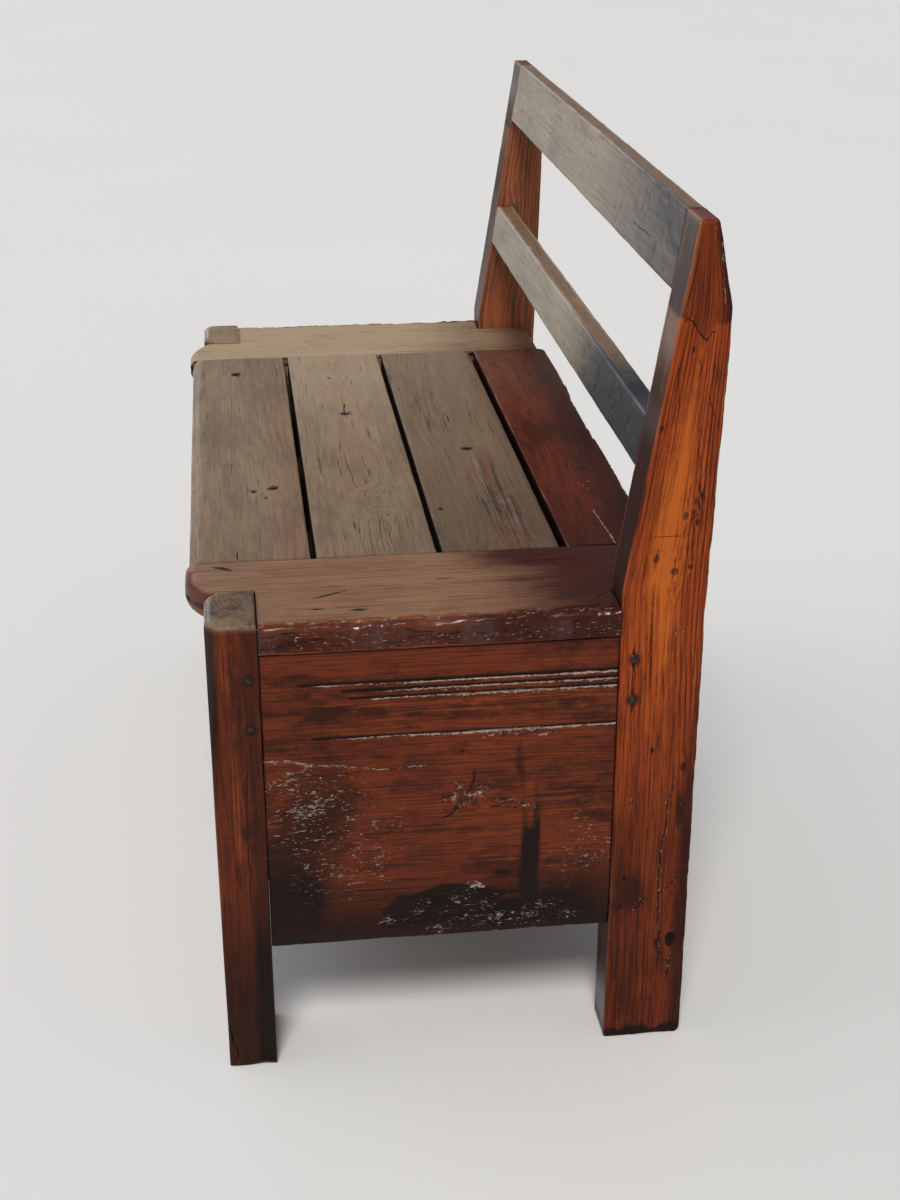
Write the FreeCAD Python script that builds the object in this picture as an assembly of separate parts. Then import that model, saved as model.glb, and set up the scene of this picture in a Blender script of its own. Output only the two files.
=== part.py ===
import FreeCAD, Part
import math
import os

from FreeCAD import Vector

# A pine box settle: two front legs, two raked rear posts, boards that box in the
# space under the seat, and a lid of three planks that turns on two iron pins.
# Millimetres. +Z is up, the front faces -Y and the length runs along X. The origin
# is on the floor, under the middle of the bench's length and depth.

# Overall size
LENGTH = 930.0
HEIGHT = 780.0
SEAT_HEIGHT = 450.0
FRAME_DEPTH = 434.0
NOSE = 17.0

# Where the front face of the legs and the outer faces of the ends stand
END = LENGTH / 2
FRONT = NOSE - (FRAME_DEPTH + NOSE) / 2

# Front legs
LEG_WIDTH = 76.0
LEG_DEPTH = 44.0
LEG_PROUD = 3.0
LEG_INNER = END - LEG_WIDTH
LEG_BACK = FRONT + LEG_DEPTH
LEG_TOP_ROUND = 4.0
LEG_CORNER_CUT = 13.0
LEG_CORNER_LOW = 1.5
LEG_CORNER_STOP = 345.0

# Rear posts: foot, rake, knee and top, measured back from the front face of the legs
POST_THICK = 46.0
POST_INNER = END - POST_THICK
POST_FRONT = FRONT + 354.0
POST_BACK = FRONT + 428.0
POST_WAIST_BACK = FRONT + 427.0
POST_WAIST_Z = 440.0
POST_KNEE_BACK = FRONT + FRAME_DEPTH
POST_KNEE_Z = 708.0
POST_TOP_FRONT = FRONT + 403.5
POST_TOP_BACK = FRONT + 418.5
RAKE_START_Z = 467.0
RAKE = (POST_TOP_FRONT - POST_FRONT) / (HEIGHT - RAKE_START_Z)
POST_FOOT_ROUND = 8.0
POST_ARRIS = 2.0

# Boards that close the box
BOARD_THICK = 22.0
BOX_BOTTOM = 127.0
SEAT_THICK = 27.0
BOX_TOP = SEAT_HEIGHT - SEAT_THICK
PANEL_RECESS = 2.0
PANEL_OUTER = END - PANEL_RECESS
PANEL_INNER = PANEL_OUTER - BOARD_THICK
PANEL_LOWER_BEVEL_Z = 16.0
PANEL_LOWER_BEVEL_X = 3.0
FRONT_BOARD_FRONT = FRONT + 8.0
FRONT_BOARD_BACK = FRONT_BOARD_FRONT + BOARD_THICK
BACK_BOARD_FRONT = FRONT + 396.0
TONGUE_THICK = 10.0
TONGUE_REACH = 22.0
TONGUE_FOOT = 20.0

# Scratched mouldings across the end panels and the front board: heights, and the
# distance from the leg at which each one starts on an end panel
GROOVE_DEPTH = 2.2
GROOVE_HALF_WIDTH = 1.6
GROOVES = (
    (391.8, 24.0),
    (384.8, 60.0),
    (377.6, 66.0),
    (340.0, 33.0),
)
GROOVE_END_GAP = 6.0

# Floor of the box
LEDGE_THICK = 22.0
LEDGE_HEIGHT = 22.0
LEDGE_BOTTOM = BOX_BOTTOM + 3.0
LEDGE_TOP = LEDGE_BOTTOM + LEDGE_HEIGHT
LEDGE_END_GAP = 2.0
FLOOR_THICK = 16.0
FLOOR_GAP = 1.0
FLOOR_CLEARANCE = 0.5
FLOOR_BOARDS = ("front", "middle", "rear")

# Seat boards
END_BOARD_WIDTH = 144.0
END_BOARD_INNER = END - END_BOARD_WIDTH
END_BOARD_BACK = FRONT + 414.5
END_NOSE_STRAIGHT = 29.0
END_NOSE_SETBACK = 19.0
NOSE_ROUND = 11.0
END_BOARD_ARRIS = 6.0
REAR_BOARD_FRONT = FRONT + 333.0
REAR_BOARD_BACK = FRONT + 422.5
REAR_BOARD_CORNER = 12.0
SEAT_ARRIS = 1.5

# Cross bearers under the ends of the lid
BEARER_HEIGHT = 30.0
BEARER_INNER = 300.0
BEARER_OUTER = 345.0
BEARER_BOTTOM = BOX_TOP - BEARER_HEIGHT
BEARER_RELIEF_DEPTH = 4.0

# Lid
LID_FRONT = FRONT - 13.5
LID_BACK = FRONT + 327.5
LID_END_GAP = 1.5
LID_HALF = END_BOARD_INNER - LID_END_GAP
LID_UNDER_GAP = 0.4
LID_UNDERSIDE = BOX_TOP + LID_UNDER_GAP
LID_PLANKS = ("front", "middle", "rear")
PLANK_GAP = 5.0
PLANK_WIDTH = (LID_BACK - LID_FRONT - PLANK_GAP * (len(LID_PLANKS) - 1)) / len(LID_PLANKS)
LID_BACK_ROUND = 5.0
BATTEN_WIDTH = 55.0
BATTEN_THICK = 20.0
BATTEN_SPACING = 220.0
BATTENS = (("left", -BATTEN_SPACING), ("middle", 0.0), ("right", BATTEN_SPACING))
BATTEN_FRONT = FRONT + 42.0
BATTEN_BACK = FRONT + 304.0
BATTEN_BEVEL = 6.0

# Pins that the lid turns on
PIN_RADIUS = 4.0
PIN_CLEARANCE = 0.05
PIN_IN_LID = 24.0
PIN_IN_BOARD = 22.0
PIN_HOLE_SPARE = 2.0
PIN_Y = FRONT + 318.5
PIN_Z = SEAT_HEIGHT - 9.0

# Back rails
TOP_RAIL_BOTTOM = 713.0
MID_RAIL_BOTTOM = 562.0
MID_RAIL_TOP = 608.0
TOP_RAIL_THICK = 22.0
MID_RAIL_THICK = 20.0
TENON_LENGTH = 26.0
TENON_THICK = 10.0
TENON_SETBACK = 5.0
TOP_TENON = (721.0, 760.0)
MID_TENON = (568.0, 602.0)
RAIL_ARRIS = 2.0

# Pegs, nails and screws
PEG_RADIUS = 4.5
PEG_LENGTH = 35.0
PANEL_PEG_LEG_Y = FRONT + 35.0
PANEL_PEG_POST_Y = FRONT + 366.5
PANEL_PEG_LEG_Z = (401.0, 354.0)
PANEL_PEG_POST_Z = (401.0, 362.0)
FRONT_PEG_X = LEG_INNER + TONGUE_REACH / 2
FRONT_PEG_Z = (401.0, 160.0)
BACK_PEG_X = POST_INNER + TONGUE_REACH / 2
BACK_PEG_Z = (401.0, 160.0)
RAIL_PEG_RADIUS = 3.0
RAIL_PEG_X = POST_INNER + 12.0
RAIL_PEG_Z = (738.0, 585.0)
RAIL_PEG_LENGTH = 26.0
NAIL_RADIUS = 1.8
NAIL_HEAD_RADIUS = 3.6
NAIL_HEAD_THICK = 1.6
NAIL_LENGTH = 34.0
NAIL_EDGE = 24.0
LEDGE_NAIL_Y = (90.0, 200.0, 310.0)
LEDGE_NAIL_LENGTH = 32.0
SCREW_RADIUS = 2.4
SCREW_HEAD_RADIUS = 4.6
SCREW_HEAD_THICK = 3.0
SCREW_LENGTH = 46.0
END_SCREW_X = 334.0
END_SCREW_Y = (72.0, 225.0, 384.0)
REAR_SCREW_X = 310.0
REAR_SCREW_Y = 380.0

TINY = 0.01


def box(x0, x1, y0, y1, z0, z1):
    """A block between two corners."""
    return Part.makeBox(x1 - x0, y1 - y0, z1 - z0, Vector(x0, y0, z0))


def prism_along_x(points, x0, x1):
    """A solid whose outline is a list of (y, z) points, drawn from x0 to x1."""
    ring = [Vector(x0, y, z) for y, z in points]
    ring.append(ring[0])
    face = Part.Face(Part.makePolygon(ring))
    return face.extrude(Vector(x1 - x0, 0, 0))


def mirrored(shape):
    """The same piece at the other end of the bench."""
    return shape.mirror(Vector(0, 0, 0), Vector(1, 0, 0))


def both_ends(shape):
    """A piece and its mirror as one list of solids."""
    return shape.Solids + mirrored(shape).Solids


def round_edges(shape, radius, chosen):
    """Rounds the edges for which chosen(box of the edge) is true."""
    edges = [edge for edge in shape.Edges if chosen(edge.BoundBox)]
    return shape.makeFillet(radius, edges)


def is_flat(low, high):
    """Whether two bounds are the same level."""
    return high - low < TINY


def near(value, target):
    """Whether a bound lies at a named level."""
    return abs(value - target) < TINY


def cut_all(shape, tools):
    """The shape with each of the tools cut away."""
    for tool in tools:
        shape = shape.cut(tool)
    return shape


def rake_front(z):
    """The y of the raked front of posts and rails at a height."""
    return POST_FRONT + RAKE * max(z - RAKE_START_Z, 0.0)


def taper_back(z):
    """The y of the posts' tapered back, above the knee, at a height."""
    run = (POST_KNEE_BACK - POST_TOP_BACK) / (HEIGHT - POST_KNEE_Z)
    return POST_KNEE_BACK - run * (z - POST_KNEE_Z)


def pin(radius, length, base, direction):
    """A round rod from a base point along a direction."""
    return Part.makeCylinder(radius, length, base, direction)


def post_outline():
    """The (y, z) corners of a rear post."""
    return [
        (POST_FRONT, 0.0),
        (POST_BACK, 0.0),
        (POST_WAIST_BACK, POST_WAIST_Z),
        (POST_KNEE_BACK, POST_KNEE_Z),
        (POST_TOP_BACK, HEIGHT),
        (POST_TOP_FRONT, HEIGHT),
        (POST_FRONT, RAKE_START_Z),
    ]


def post_blank():
    """The right post before its joints are cut: one plank, with a rounded back
    corner at the foot and eased long edges."""
    blank = prism_along_x(post_outline(), POST_INNER, END)
    blank = round_edges(
        blank,
        POST_FOOT_ROUND,
        lambda b: near(b.YMin, POST_BACK) and near(b.ZMax, 0.0) and near(b.YMax, POST_BACK),
    )
    return round_edges(
        blank,
        POST_ARRIS,
        lambda b: is_flat(b.XMin, b.XMax) and b.ZLength > POST_FOOT_ROUND * 2,
    )


def panel_tongues():
    """The right end panel's tongues, in the leg and in the post."""
    middle = (PANEL_OUTER + PANEL_INNER) / 2
    x0 = middle - TONGUE_THICK / 2
    x1 = middle + TONGUE_THICK / 2
    z0 = BOX_BOTTOM + TONGUE_FOOT
    in_leg = box(x0, x1, LEG_BACK - TONGUE_REACH, LEG_BACK, z0, BOX_TOP)
    in_post = box(x0, x1, POST_FRONT, POST_FRONT + TONGUE_REACH, z0, BOX_TOP)
    return [in_leg, in_post]


def board_tongue(inner, front):
    """The right-hand tongue of the front or back board."""
    y0 = front + (BOARD_THICK - TONGUE_THICK) / 2
    return box(inner, inner + TONGUE_REACH, y0, y0 + TONGUE_THICK, BOX_BOTTOM + TONGUE_FOOT, BOX_TOP)


def rail_section(z0, z1, setback, thick):
    """The (y, z) corners of a strip that follows the rake."""
    return [
        (rake_front(z0) + setback, z0),
        (rake_front(z0) + setback + thick, z0),
        (rake_front(z1) + setback + thick, z1),
        (rake_front(z1) + setback, z1),
    ]


def rail_tenon(levels):
    """The right-hand tenon of a rail between two heights."""
    section = rail_section(levels[0], levels[1], TENON_SETBACK, TENON_THICK)
    return prism_along_x(section, POST_INNER, POST_INNER + TENON_LENGTH)


def side_pegs(y, heights):
    """Pegs driven in from the right end at one distance back."""
    start = END - PEG_LENGTH
    return [pin(PEG_RADIUS, PEG_LENGTH, Vector(start, y, z), Vector(1, 0, 0)) for z in heights]


def leg_peg_list():
    """The right leg's pegs: two from the end, two from the front."""
    pegs = side_pegs(PANEL_PEG_LEG_Y, PANEL_PEG_LEG_Z)
    for z in FRONT_PEG_Z:
        pegs.append(pin(PEG_RADIUS, PEG_LENGTH, Vector(FRONT_PEG_X, FRONT, z), Vector(0, 1, 0)))
    return pegs


def post_peg_list():
    """The right post's pegs: two from the end, two from the back."""
    pegs = side_pegs(PANEL_PEG_POST_Y, PANEL_PEG_POST_Z)
    for z in BACK_PEG_Z:
        start = Vector(BACK_PEG_X, POST_WAIST_BACK - PEG_LENGTH, z)
        pegs.append(pin(PEG_RADIUS, PEG_LENGTH, start, Vector(0, 1, 0)))
    return pegs


def rail_peg_list():
    """The right post's small pegs through the rail tenons, cut off flush with the rake."""
    outline = prism_along_x(post_outline(), POST_INNER, END)
    pegs = []
    for z in RAIL_PEG_Z:
        start = Vector(RAIL_PEG_X, rake_front(z) - RAIL_PEG_RADIUS, z)
        pegs.append(pin(RAIL_PEG_RADIUS, RAIL_PEG_LENGTH, start, Vector(0, 1, 0)).common(outline))
    return pegs


def leg_corner_cut():
    """A stopped chamfer on the leg's outer front corner, wide at the top."""
    top = SEAT_HEIGHT + LEG_PROUD + TINY
    rings = []
    for size, z in ((LEG_CORNER_CUT, top), (LEG_CORNER_LOW, LEG_CORNER_STOP)):
        corners = [Vector(END + TINY, FRONT - TINY, z), Vector(END - size, FRONT - TINY, z)]
        corners.append(Vector(END + TINY, FRONT + size, z))
        corners.append(corners[0])
        rings.append(Part.makePolygon(corners))
    return Part.makeLoft(rings, True, True)


def front_leg():
    """The right front leg."""
    top = SEAT_HEIGHT + LEG_PROUD
    leg = box(LEG_INNER, END, FRONT, LEG_BACK, 0.0, top)
    leg = leg.cut(leg_corner_cut())
    leg = round_edges(leg, LEG_TOP_ROUND, lambda b: near(b.ZMin, top))
    joints = [panel_tongues()[0], board_tongue(LEG_INNER, FRONT_BOARD_FRONT)]
    return cut_all(leg, joints + leg_peg_list())


def rear_post():
    """The right rear post."""
    joints = [panel_tongues()[1], board_tongue(POST_INNER, BACK_BOARD_FRONT)]
    joints += [rail_tenon(TOP_TENON), rail_tenon(MID_TENON)]
    return cut_all(post_blank(), joints + post_peg_list() + rail_peg_list())


def front_groove(z):
    """One scratched line across the front board, triangular in section."""
    ring = [
        Vector(-LEG_INNER, FRONT_BOARD_FRONT - TINY, z - GROOVE_HALF_WIDTH),
        Vector(-LEG_INNER, FRONT_BOARD_FRONT + GROOVE_DEPTH, z),
        Vector(-LEG_INNER, FRONT_BOARD_FRONT - TINY, z + GROOVE_HALF_WIDTH),
    ]
    ring.append(ring[0])
    return Part.Face(Part.makePolygon(ring)).extrude(Vector(2 * LEG_INNER, 0, 0))


def groove(z, start):
    """One scratched line across the right end panel, triangular in section."""
    ring = [
        Vector(PANEL_OUTER + TINY, LEG_BACK + start, z - GROOVE_HALF_WIDTH),
        Vector(PANEL_OUTER - GROOVE_DEPTH, LEG_BACK + start, z),
        Vector(PANEL_OUTER + TINY, LEG_BACK + start, z + GROOVE_HALF_WIDTH),
    ]
    ring.append(ring[0])
    run = POST_FRONT - GROOVE_END_GAP - LEG_BACK - start
    return Part.Face(Part.makePolygon(ring)).extrude(Vector(0, run, 0))


def end_panel():
    """The right end panel: one wide board with scratched lines and a bevelled foot."""
    panel = box(PANEL_INNER, PANEL_OUTER, LEG_BACK, POST_FRONT, BOX_BOTTOM, BOX_TOP)
    ring = [
        Vector(PANEL_OUTER + TINY, LEG_BACK, BOX_BOTTOM - TINY),
        Vector(PANEL_OUTER - PANEL_LOWER_BEVEL_X, LEG_BACK, BOX_BOTTOM - TINY),
        Vector(PANEL_OUTER + TINY, LEG_BACK, BOX_BOTTOM + PANEL_LOWER_BEVEL_Z),
    ]
    ring.append(ring[0])
    bevel = Part.Face(Part.makePolygon(ring)).extrude(Vector(0, POST_FRONT - LEG_BACK, 0))
    panel = panel.cut(bevel)
    panel = cut_all(panel, [groove(z, start) for z, start in GROOVES])
    for tongue in panel_tongues():
        panel = panel.fuse(tongue)
    panel = panel.removeSplitter()
    return cut_all(panel, leg_peg_list() + post_peg_list() + ledge_nail_list())


def cross_board(inner, front, pegs):
    """A front or back board with a tongue at each end."""
    board = box(-inner, inner, front, front + BOARD_THICK, BOX_BOTTOM, BOX_TOP)
    tongue = board_tongue(inner, front)
    board = board.fuse(tongue).fuse(mirrored(tongue)).removeSplitter()
    for peg in pegs:
        board = cut_all(board, both_ends(peg))
    return board


def nail(point, direction, length):
    """A nail with a flat head, driven from the head's face along a direction."""
    head = pin(NAIL_HEAD_RADIUS, NAIL_HEAD_THICK, point, direction)
    return head.fuse(pin(NAIL_RADIUS, length, point, direction)).removeSplitter()


def screw(x, y):
    """A countersunk screw driven upwards through a bearer."""
    base = Vector(x, y, BEARER_BOTTOM)
    head = Part.makeCone(SCREW_HEAD_RADIUS, SCREW_RADIUS, SCREW_HEAD_THICK, base, Vector(0, 0, 1))
    return head.fuse(pin(SCREW_RADIUS, SCREW_LENGTH, base, Vector(0, 0, 1))).removeSplitter()


def ledge_nail_list():
    """Nails through the right floor ledge into the end panel."""
    x = PANEL_INNER - LEDGE_THICK
    z = (LEDGE_BOTTOM + LEDGE_TOP) / 2
    return [nail(Vector(x, FRONT + y, z), Vector(1, 0, 0), LEDGE_NAIL_LENGTH) for y in LEDGE_NAIL_Y]


def floor_edges(index):
    """The front and back y of one floor board."""
    span = BACK_BOARD_FRONT - FRONT_BOARD_BACK - 2 * FLOOR_CLEARANCE
    width = (span - FLOOR_GAP * (len(FLOOR_BOARDS) - 1)) / len(FLOOR_BOARDS)
    start = FRONT_BOARD_BACK + FLOOR_CLEARANCE + index * (width + FLOOR_GAP)
    return start, start + width


def floor_nail_list():
    """Nails through the floor boards into the right ledge, two to each board."""
    x = PANEL_INNER - LEDGE_THICK / 2
    nails = []
    for index in range(len(FLOOR_BOARDS)):
        front, back = floor_edges(index)
        low = max(front, LEG_BACK) + NAIL_EDGE
        high = min(back, POST_FRONT) - NAIL_EDGE
        for y in (low, high):
            head = Vector(x, y, LEDGE_TOP + FLOOR_THICK)
            nails.append(nail(head, Vector(0, 0, -1), NAIL_LENGTH))
    return nails


def floor_ledge():
    """The right ledge that carries the floor boards."""
    y0 = LEG_BACK + LEDGE_END_GAP
    y1 = POST_FRONT - LEDGE_END_GAP
    ledge = box(PANEL_INNER - LEDGE_THICK, PANEL_INNER, y0, y1, LEDGE_BOTTOM, LEDGE_TOP)
    return cut_all(ledge, ledge_nail_list() + floor_nail_list())


def floor_board(index):
    """One floor board, notched round the legs or posts where they stand in its way."""
    front, back = floor_edges(index)
    half = PANEL_INNER - FLOOR_CLEARANCE
    top = LEDGE_TOP + FLOOR_THICK
    board = box(-half, half, front, back, LEDGE_TOP, top)
    gap = FLOOR_CLEARANCE
    leg_space = box(LEG_INNER - gap, END, FRONT, LEG_BACK + gap, LEDGE_TOP, top)
    post_space = box(POST_INNER - gap, END, POST_FRONT - gap, POST_BACK, LEDGE_TOP, top)
    for tool in [leg_space, post_space] + floor_nail_list():
        board = cut_all(board, both_ends(tool))
    return board


def bearer_relief():
    """The room that the lid's rounded back edge needs over the right bearer."""
    x1 = LID_HALF + LID_END_GAP
    y0 = PIN_Y - PLANK_WIDTH / 4
    z0 = BOX_TOP - BEARER_RELIEF_DEPTH
    return box(BEARER_INNER, x1, y0, REAR_BOARD_FRONT, z0, BOX_TOP)


def screw_list():
    """The screws up through the right bearer into the seat's fixed boards."""
    screws = [screw(END_SCREW_X, FRONT + y) for y in END_SCREW_Y]
    screws.append(screw(REAR_SCREW_X, FRONT + REAR_SCREW_Y))
    return screws


def seat_bearer():
    """The right cross bearer, from the front board to the back board."""
    bearer = box(BEARER_INNER, BEARER_OUTER, FRONT_BOARD_BACK, BACK_BOARD_FRONT, BEARER_BOTTOM, BOX_TOP)
    return cut_all(bearer, [bearer_relief()] + screw_list())


def end_board_nose():
    """The right end board's nose in front of the leg's back: its outer corner is an
    arc, and its front edge is rounded above and below."""
    nose_y = FRONT - NOSE
    nose_x = END_BOARD_INNER + END_NOSE_STRAIGHT
    reach = LEG_INNER - nose_x
    radius = (reach ** 2 + END_NOSE_SETBACK ** 2) / (2 * END_NOSE_SETBACK)
    bow = radius * math.sqrt(0.5)
    middle = Vector(nose_x + bow, nose_y + radius - bow, BOX_TOP)
    corners = [
        Vector(nose_x + radius, nose_y + radius, BOX_TOP),
        Vector(nose_x + radius, LEG_BACK, BOX_TOP),
        Vector(END_BOARD_INNER, LEG_BACK, BOX_TOP),
        Vector(END_BOARD_INNER, nose_y, BOX_TOP),
        Vector(nose_x, nose_y, BOX_TOP),
    ]
    arc = Part.Arc(corners[-1], middle, corners[0]).toShape()
    sides = [Part.LineSegment(a, b).toShape() for a, b in zip(corners, corners[1:])]
    nose = Part.Face(Part.Wire(sides + [arc])).extrude(Vector(0, 0, SEAT_THICK))
    nose = round_edges(
        nose,
        NOSE_ROUND,
        lambda b: is_flat(b.ZMin, b.ZMax)
        and b.YMin < LEG_BACK - TINY
        and not near(b.XMax, END_BOARD_INNER),
    )
    return nose.common(box(END_BOARD_INNER, LEG_INNER, nose_y, LEG_BACK, BOX_TOP, SEAT_HEIGHT))


def pivot_hole():
    """The hole in the right end board for the lid's pin."""
    start = Vector(END_BOARD_INNER - TINY, PIN_Y, PIN_Z)
    depth = PIN_IN_BOARD + PIN_HOLE_SPARE
    return pin(PIN_RADIUS + PIN_CLEARANCE, depth, start, Vector(1, 0, 0))


def seat_end_board():
    """The right end board of the seat, notched for the leg and for the post."""
    board = box(END_BOARD_INNER, END, LEG_BACK, POST_FRONT, BOX_TOP, SEAT_HEIGHT)
    board = round_edges(
        board,
        END_BOARD_ARRIS,
        lambda b: near(b.XMin, END) and near(b.ZMin, SEAT_HEIGHT),
    )
    board = board.fuse(box(END_BOARD_INNER, POST_INNER, POST_FRONT, END_BOARD_BACK, BOX_TOP, SEAT_HEIGHT))
    board = board.fuse(end_board_nose()).removeSplitter()
    return cut_all(board, [pivot_hole()] + screw_list())


def seat_rear_board():
    """The fixed board behind the lid, its back corners rounded off."""
    board = box(-END_BOARD_INNER, END_BOARD_INNER, REAR_BOARD_FRONT, REAR_BOARD_BACK, BOX_TOP, SEAT_HEIGHT)
    board = round_edges(
        board,
        REAR_BOARD_CORNER,
        lambda b: near(b.YMin, REAR_BOARD_BACK) and b.ZLength > SEAT_THICK / 2,
    )
    board = round_edges(
        board,
        SEAT_ARRIS,
        lambda b: near(b.ZMin, SEAT_HEIGHT) and near(b.YMax, REAR_BOARD_FRONT),
    )
    for tool in screw_list():
        board = cut_all(board, both_ends(tool))
    return board


def lid_pin():
    """The right pin, half in the lid's back plank and half in the end board."""
    start = Vector(LID_HALF - PIN_IN_LID, PIN_Y, PIN_Z)
    return pin(PIN_RADIUS, PIN_IN_LID + LID_END_GAP + PIN_IN_BOARD, start, Vector(1, 0, 0))


def plank_edges(index):
    """The front and back y of one lid plank."""
    front = LID_FRONT + index * (PLANK_WIDTH + PLANK_GAP)
    return front, front + PLANK_WIDTH


def batten_nail_list():
    """Nails up through the battens, two to each plank."""
    nails = []
    for _, x in BATTENS:
        for index in range(len(LID_PLANKS)):
            front, back = plank_edges(index)
            low = max(front + NAIL_EDGE, BATTEN_FRONT + NAIL_EDGE / 2)
            high = min(back - NAIL_EDGE, BATTEN_BACK - NAIL_EDGE / 2)
            for y in (low, high):
                head = Vector(x, y, LID_UNDERSIDE - BATTEN_THICK)
                nails.append(nail(head, Vector(0, 0, 1), NAIL_LENGTH))
    return nails


def lid_plank(index):
    """One plank of the lid; the front one has a rounded nose and the back one a
    rounded back edge, so that it turns clear."""
    front, back = plank_edges(index)
    plank = box(-LID_HALF, LID_HALF, front, back, LID_UNDERSIDE, SEAT_HEIGHT)
    first = index == 0
    last = index == len(LID_PLANKS) - 1
    front_round = NOSE_ROUND if first else SEAT_ARRIS
    plank = round_edges(
        plank,
        front_round,
        lambda b: near(b.YMax, front) and is_flat(b.ZMin, b.ZMax) and (first or near(b.ZMin, SEAT_HEIGHT)),
    )
    back_round = LID_BACK_ROUND if last else SEAT_ARRIS
    plank = round_edges(
        plank,
        back_round,
        lambda b: near(b.YMin, back) and is_flat(b.ZMin, b.ZMax) and (last or near(b.ZMin, SEAT_HEIGHT)),
    )
    tools = batten_nail_list()
    if last:
        tools += both_ends(lid_pin())
    return cut_all(plank, tools)


def lid_batten(x):
    """One batten under the lid, bevelled underneath at its ends."""
    low = LID_UNDERSIDE - BATTEN_THICK
    outline = [
        (BATTEN_FRONT, LID_UNDERSIDE),
        (BATTEN_FRONT, low + BATTEN_BEVEL),
        (BATTEN_FRONT + BATTEN_BEVEL, low),
        (BATTEN_BACK - BATTEN_BEVEL, low),
        (BATTEN_BACK, low + BATTEN_BEVEL),
        (BATTEN_BACK, LID_UNDERSIDE),
    ]
    batten = prism_along_x(outline, x - BATTEN_WIDTH / 2, x + BATTEN_WIDTH / 2)
    return cut_all(batten, batten_nail_list())


def rail(section, tenon_levels, front_top):
    """A back rail between the posts, with a tenon at each end."""
    body = prism_along_x(section, -POST_INNER, POST_INNER)
    body = round_edges(
        body,
        RAIL_ARRIS,
        lambda b: b.XLength > POST_INNER and near(b.ZMin, front_top[1]) and near(b.YMin, front_top[0]),
    )
    tenon = rail_tenon(tenon_levels)
    body = body.fuse(tenon).fuse(mirrored(tenon)).removeSplitter()
    for peg in rail_peg_list():
        body = cut_all(body, both_ends(peg))
    return body


def top_rail():
    """The top rail; its back is planed to follow the posts' taper."""
    z0 = TOP_RAIL_BOTTOM
    gap = taper_back(z0) - rake_front(z0) - TOP_RAIL_THICK
    run = (POST_KNEE_BACK - POST_TOP_BACK) / (HEIGHT - POST_KNEE_Z)
    meet = z0 + gap / (run + RAKE)
    section = [
        (rake_front(z0), z0),
        (rake_front(z0) + TOP_RAIL_THICK, z0),
        (rake_front(meet) + TOP_RAIL_THICK, meet),
        (POST_TOP_BACK, HEIGHT),
        (POST_TOP_FRONT, HEIGHT),
    ]
    return rail(section, TOP_TENON, (POST_TOP_FRONT, HEIGHT))


def mid_rail():
    """The middle rail, the same thickness throughout."""
    section = rail_section(MID_RAIL_BOTTOM, MID_RAIL_TOP, 0.0, MID_RAIL_THICK)
    return rail(section, MID_TENON, (rake_front(MID_RAIL_TOP), MID_RAIL_TOP))


def group(solids):
    """Loose pieces of one kind, at both ends of the bench."""
    pieces = []
    for solid in solids:
        pieces += both_ends(solid)
    return Part.makeCompound(pieces)


def one_node(shape):
    """A single solid, or all of a group's solids."""
    return shape.Solids[0] if len(shape.Solids) == 1 else Part.makeCompound(shape.Solids)


def pieces():
    """Every piece of the bench by its node's name."""
    made = {}
    ends = {
        "front_leg": front_leg(),
        "rear_post": rear_post(),
        "end_panel": end_panel(),
        "floor_ledge": floor_ledge(),
        "seat_bearer": seat_bearer(),
        "seat_end_board": seat_end_board(),
    }
    for name, shape in ends.items():
        made[name + "_right"] = shape
        made[name + "_left"] = mirrored(shape)
    front = cross_board(LEG_INNER, FRONT_BOARD_FRONT, leg_peg_list())
    made["front_board"] = cut_all(front, [front_groove(z) for z, _ in GROOVES])
    made["back_board"] = cross_board(POST_INNER, BACK_BOARD_FRONT, post_peg_list())
    for index, name in enumerate(FLOOR_BOARDS):
        made["floor_board_" + name] = floor_board(index)
    made["seat_rear_board"] = seat_rear_board()
    made["top_rail"] = top_rail()
    made["mid_rail"] = mid_rail()
    made["leg_pegs"] = group(leg_peg_list())
    made["post_pegs"] = group(post_peg_list())
    made["rail_pegs"] = group(rail_peg_list())
    made["chest_nails"] = group(floor_nail_list() + ledge_nail_list())
    made["bearer_screws"] = group(screw_list())
    for index, name in enumerate(LID_PLANKS):
        made["lid_plank_" + name] = lid_plank(index)
    for name, x in BATTENS:
        made["lid_batten_" + name] = lid_batten(x)
    made["lid_batten_nails"] = Part.makeCompound(batten_nail_list())
    made["lid_pivot_pins"] = group([lid_pin()])
    return made


def main():
    """Writes one file for each node."""
    os.makedirs("parts", exist_ok=True)
    for name, shape in pieces().items():
        node = one_node(shape)
        node.exportStep("parts/" + name + ".step")
        print(name, len(node.Solids), round(node.Volume / 1000.0, 1), node.isValid())


main()
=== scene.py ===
import itertools
import math

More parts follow.
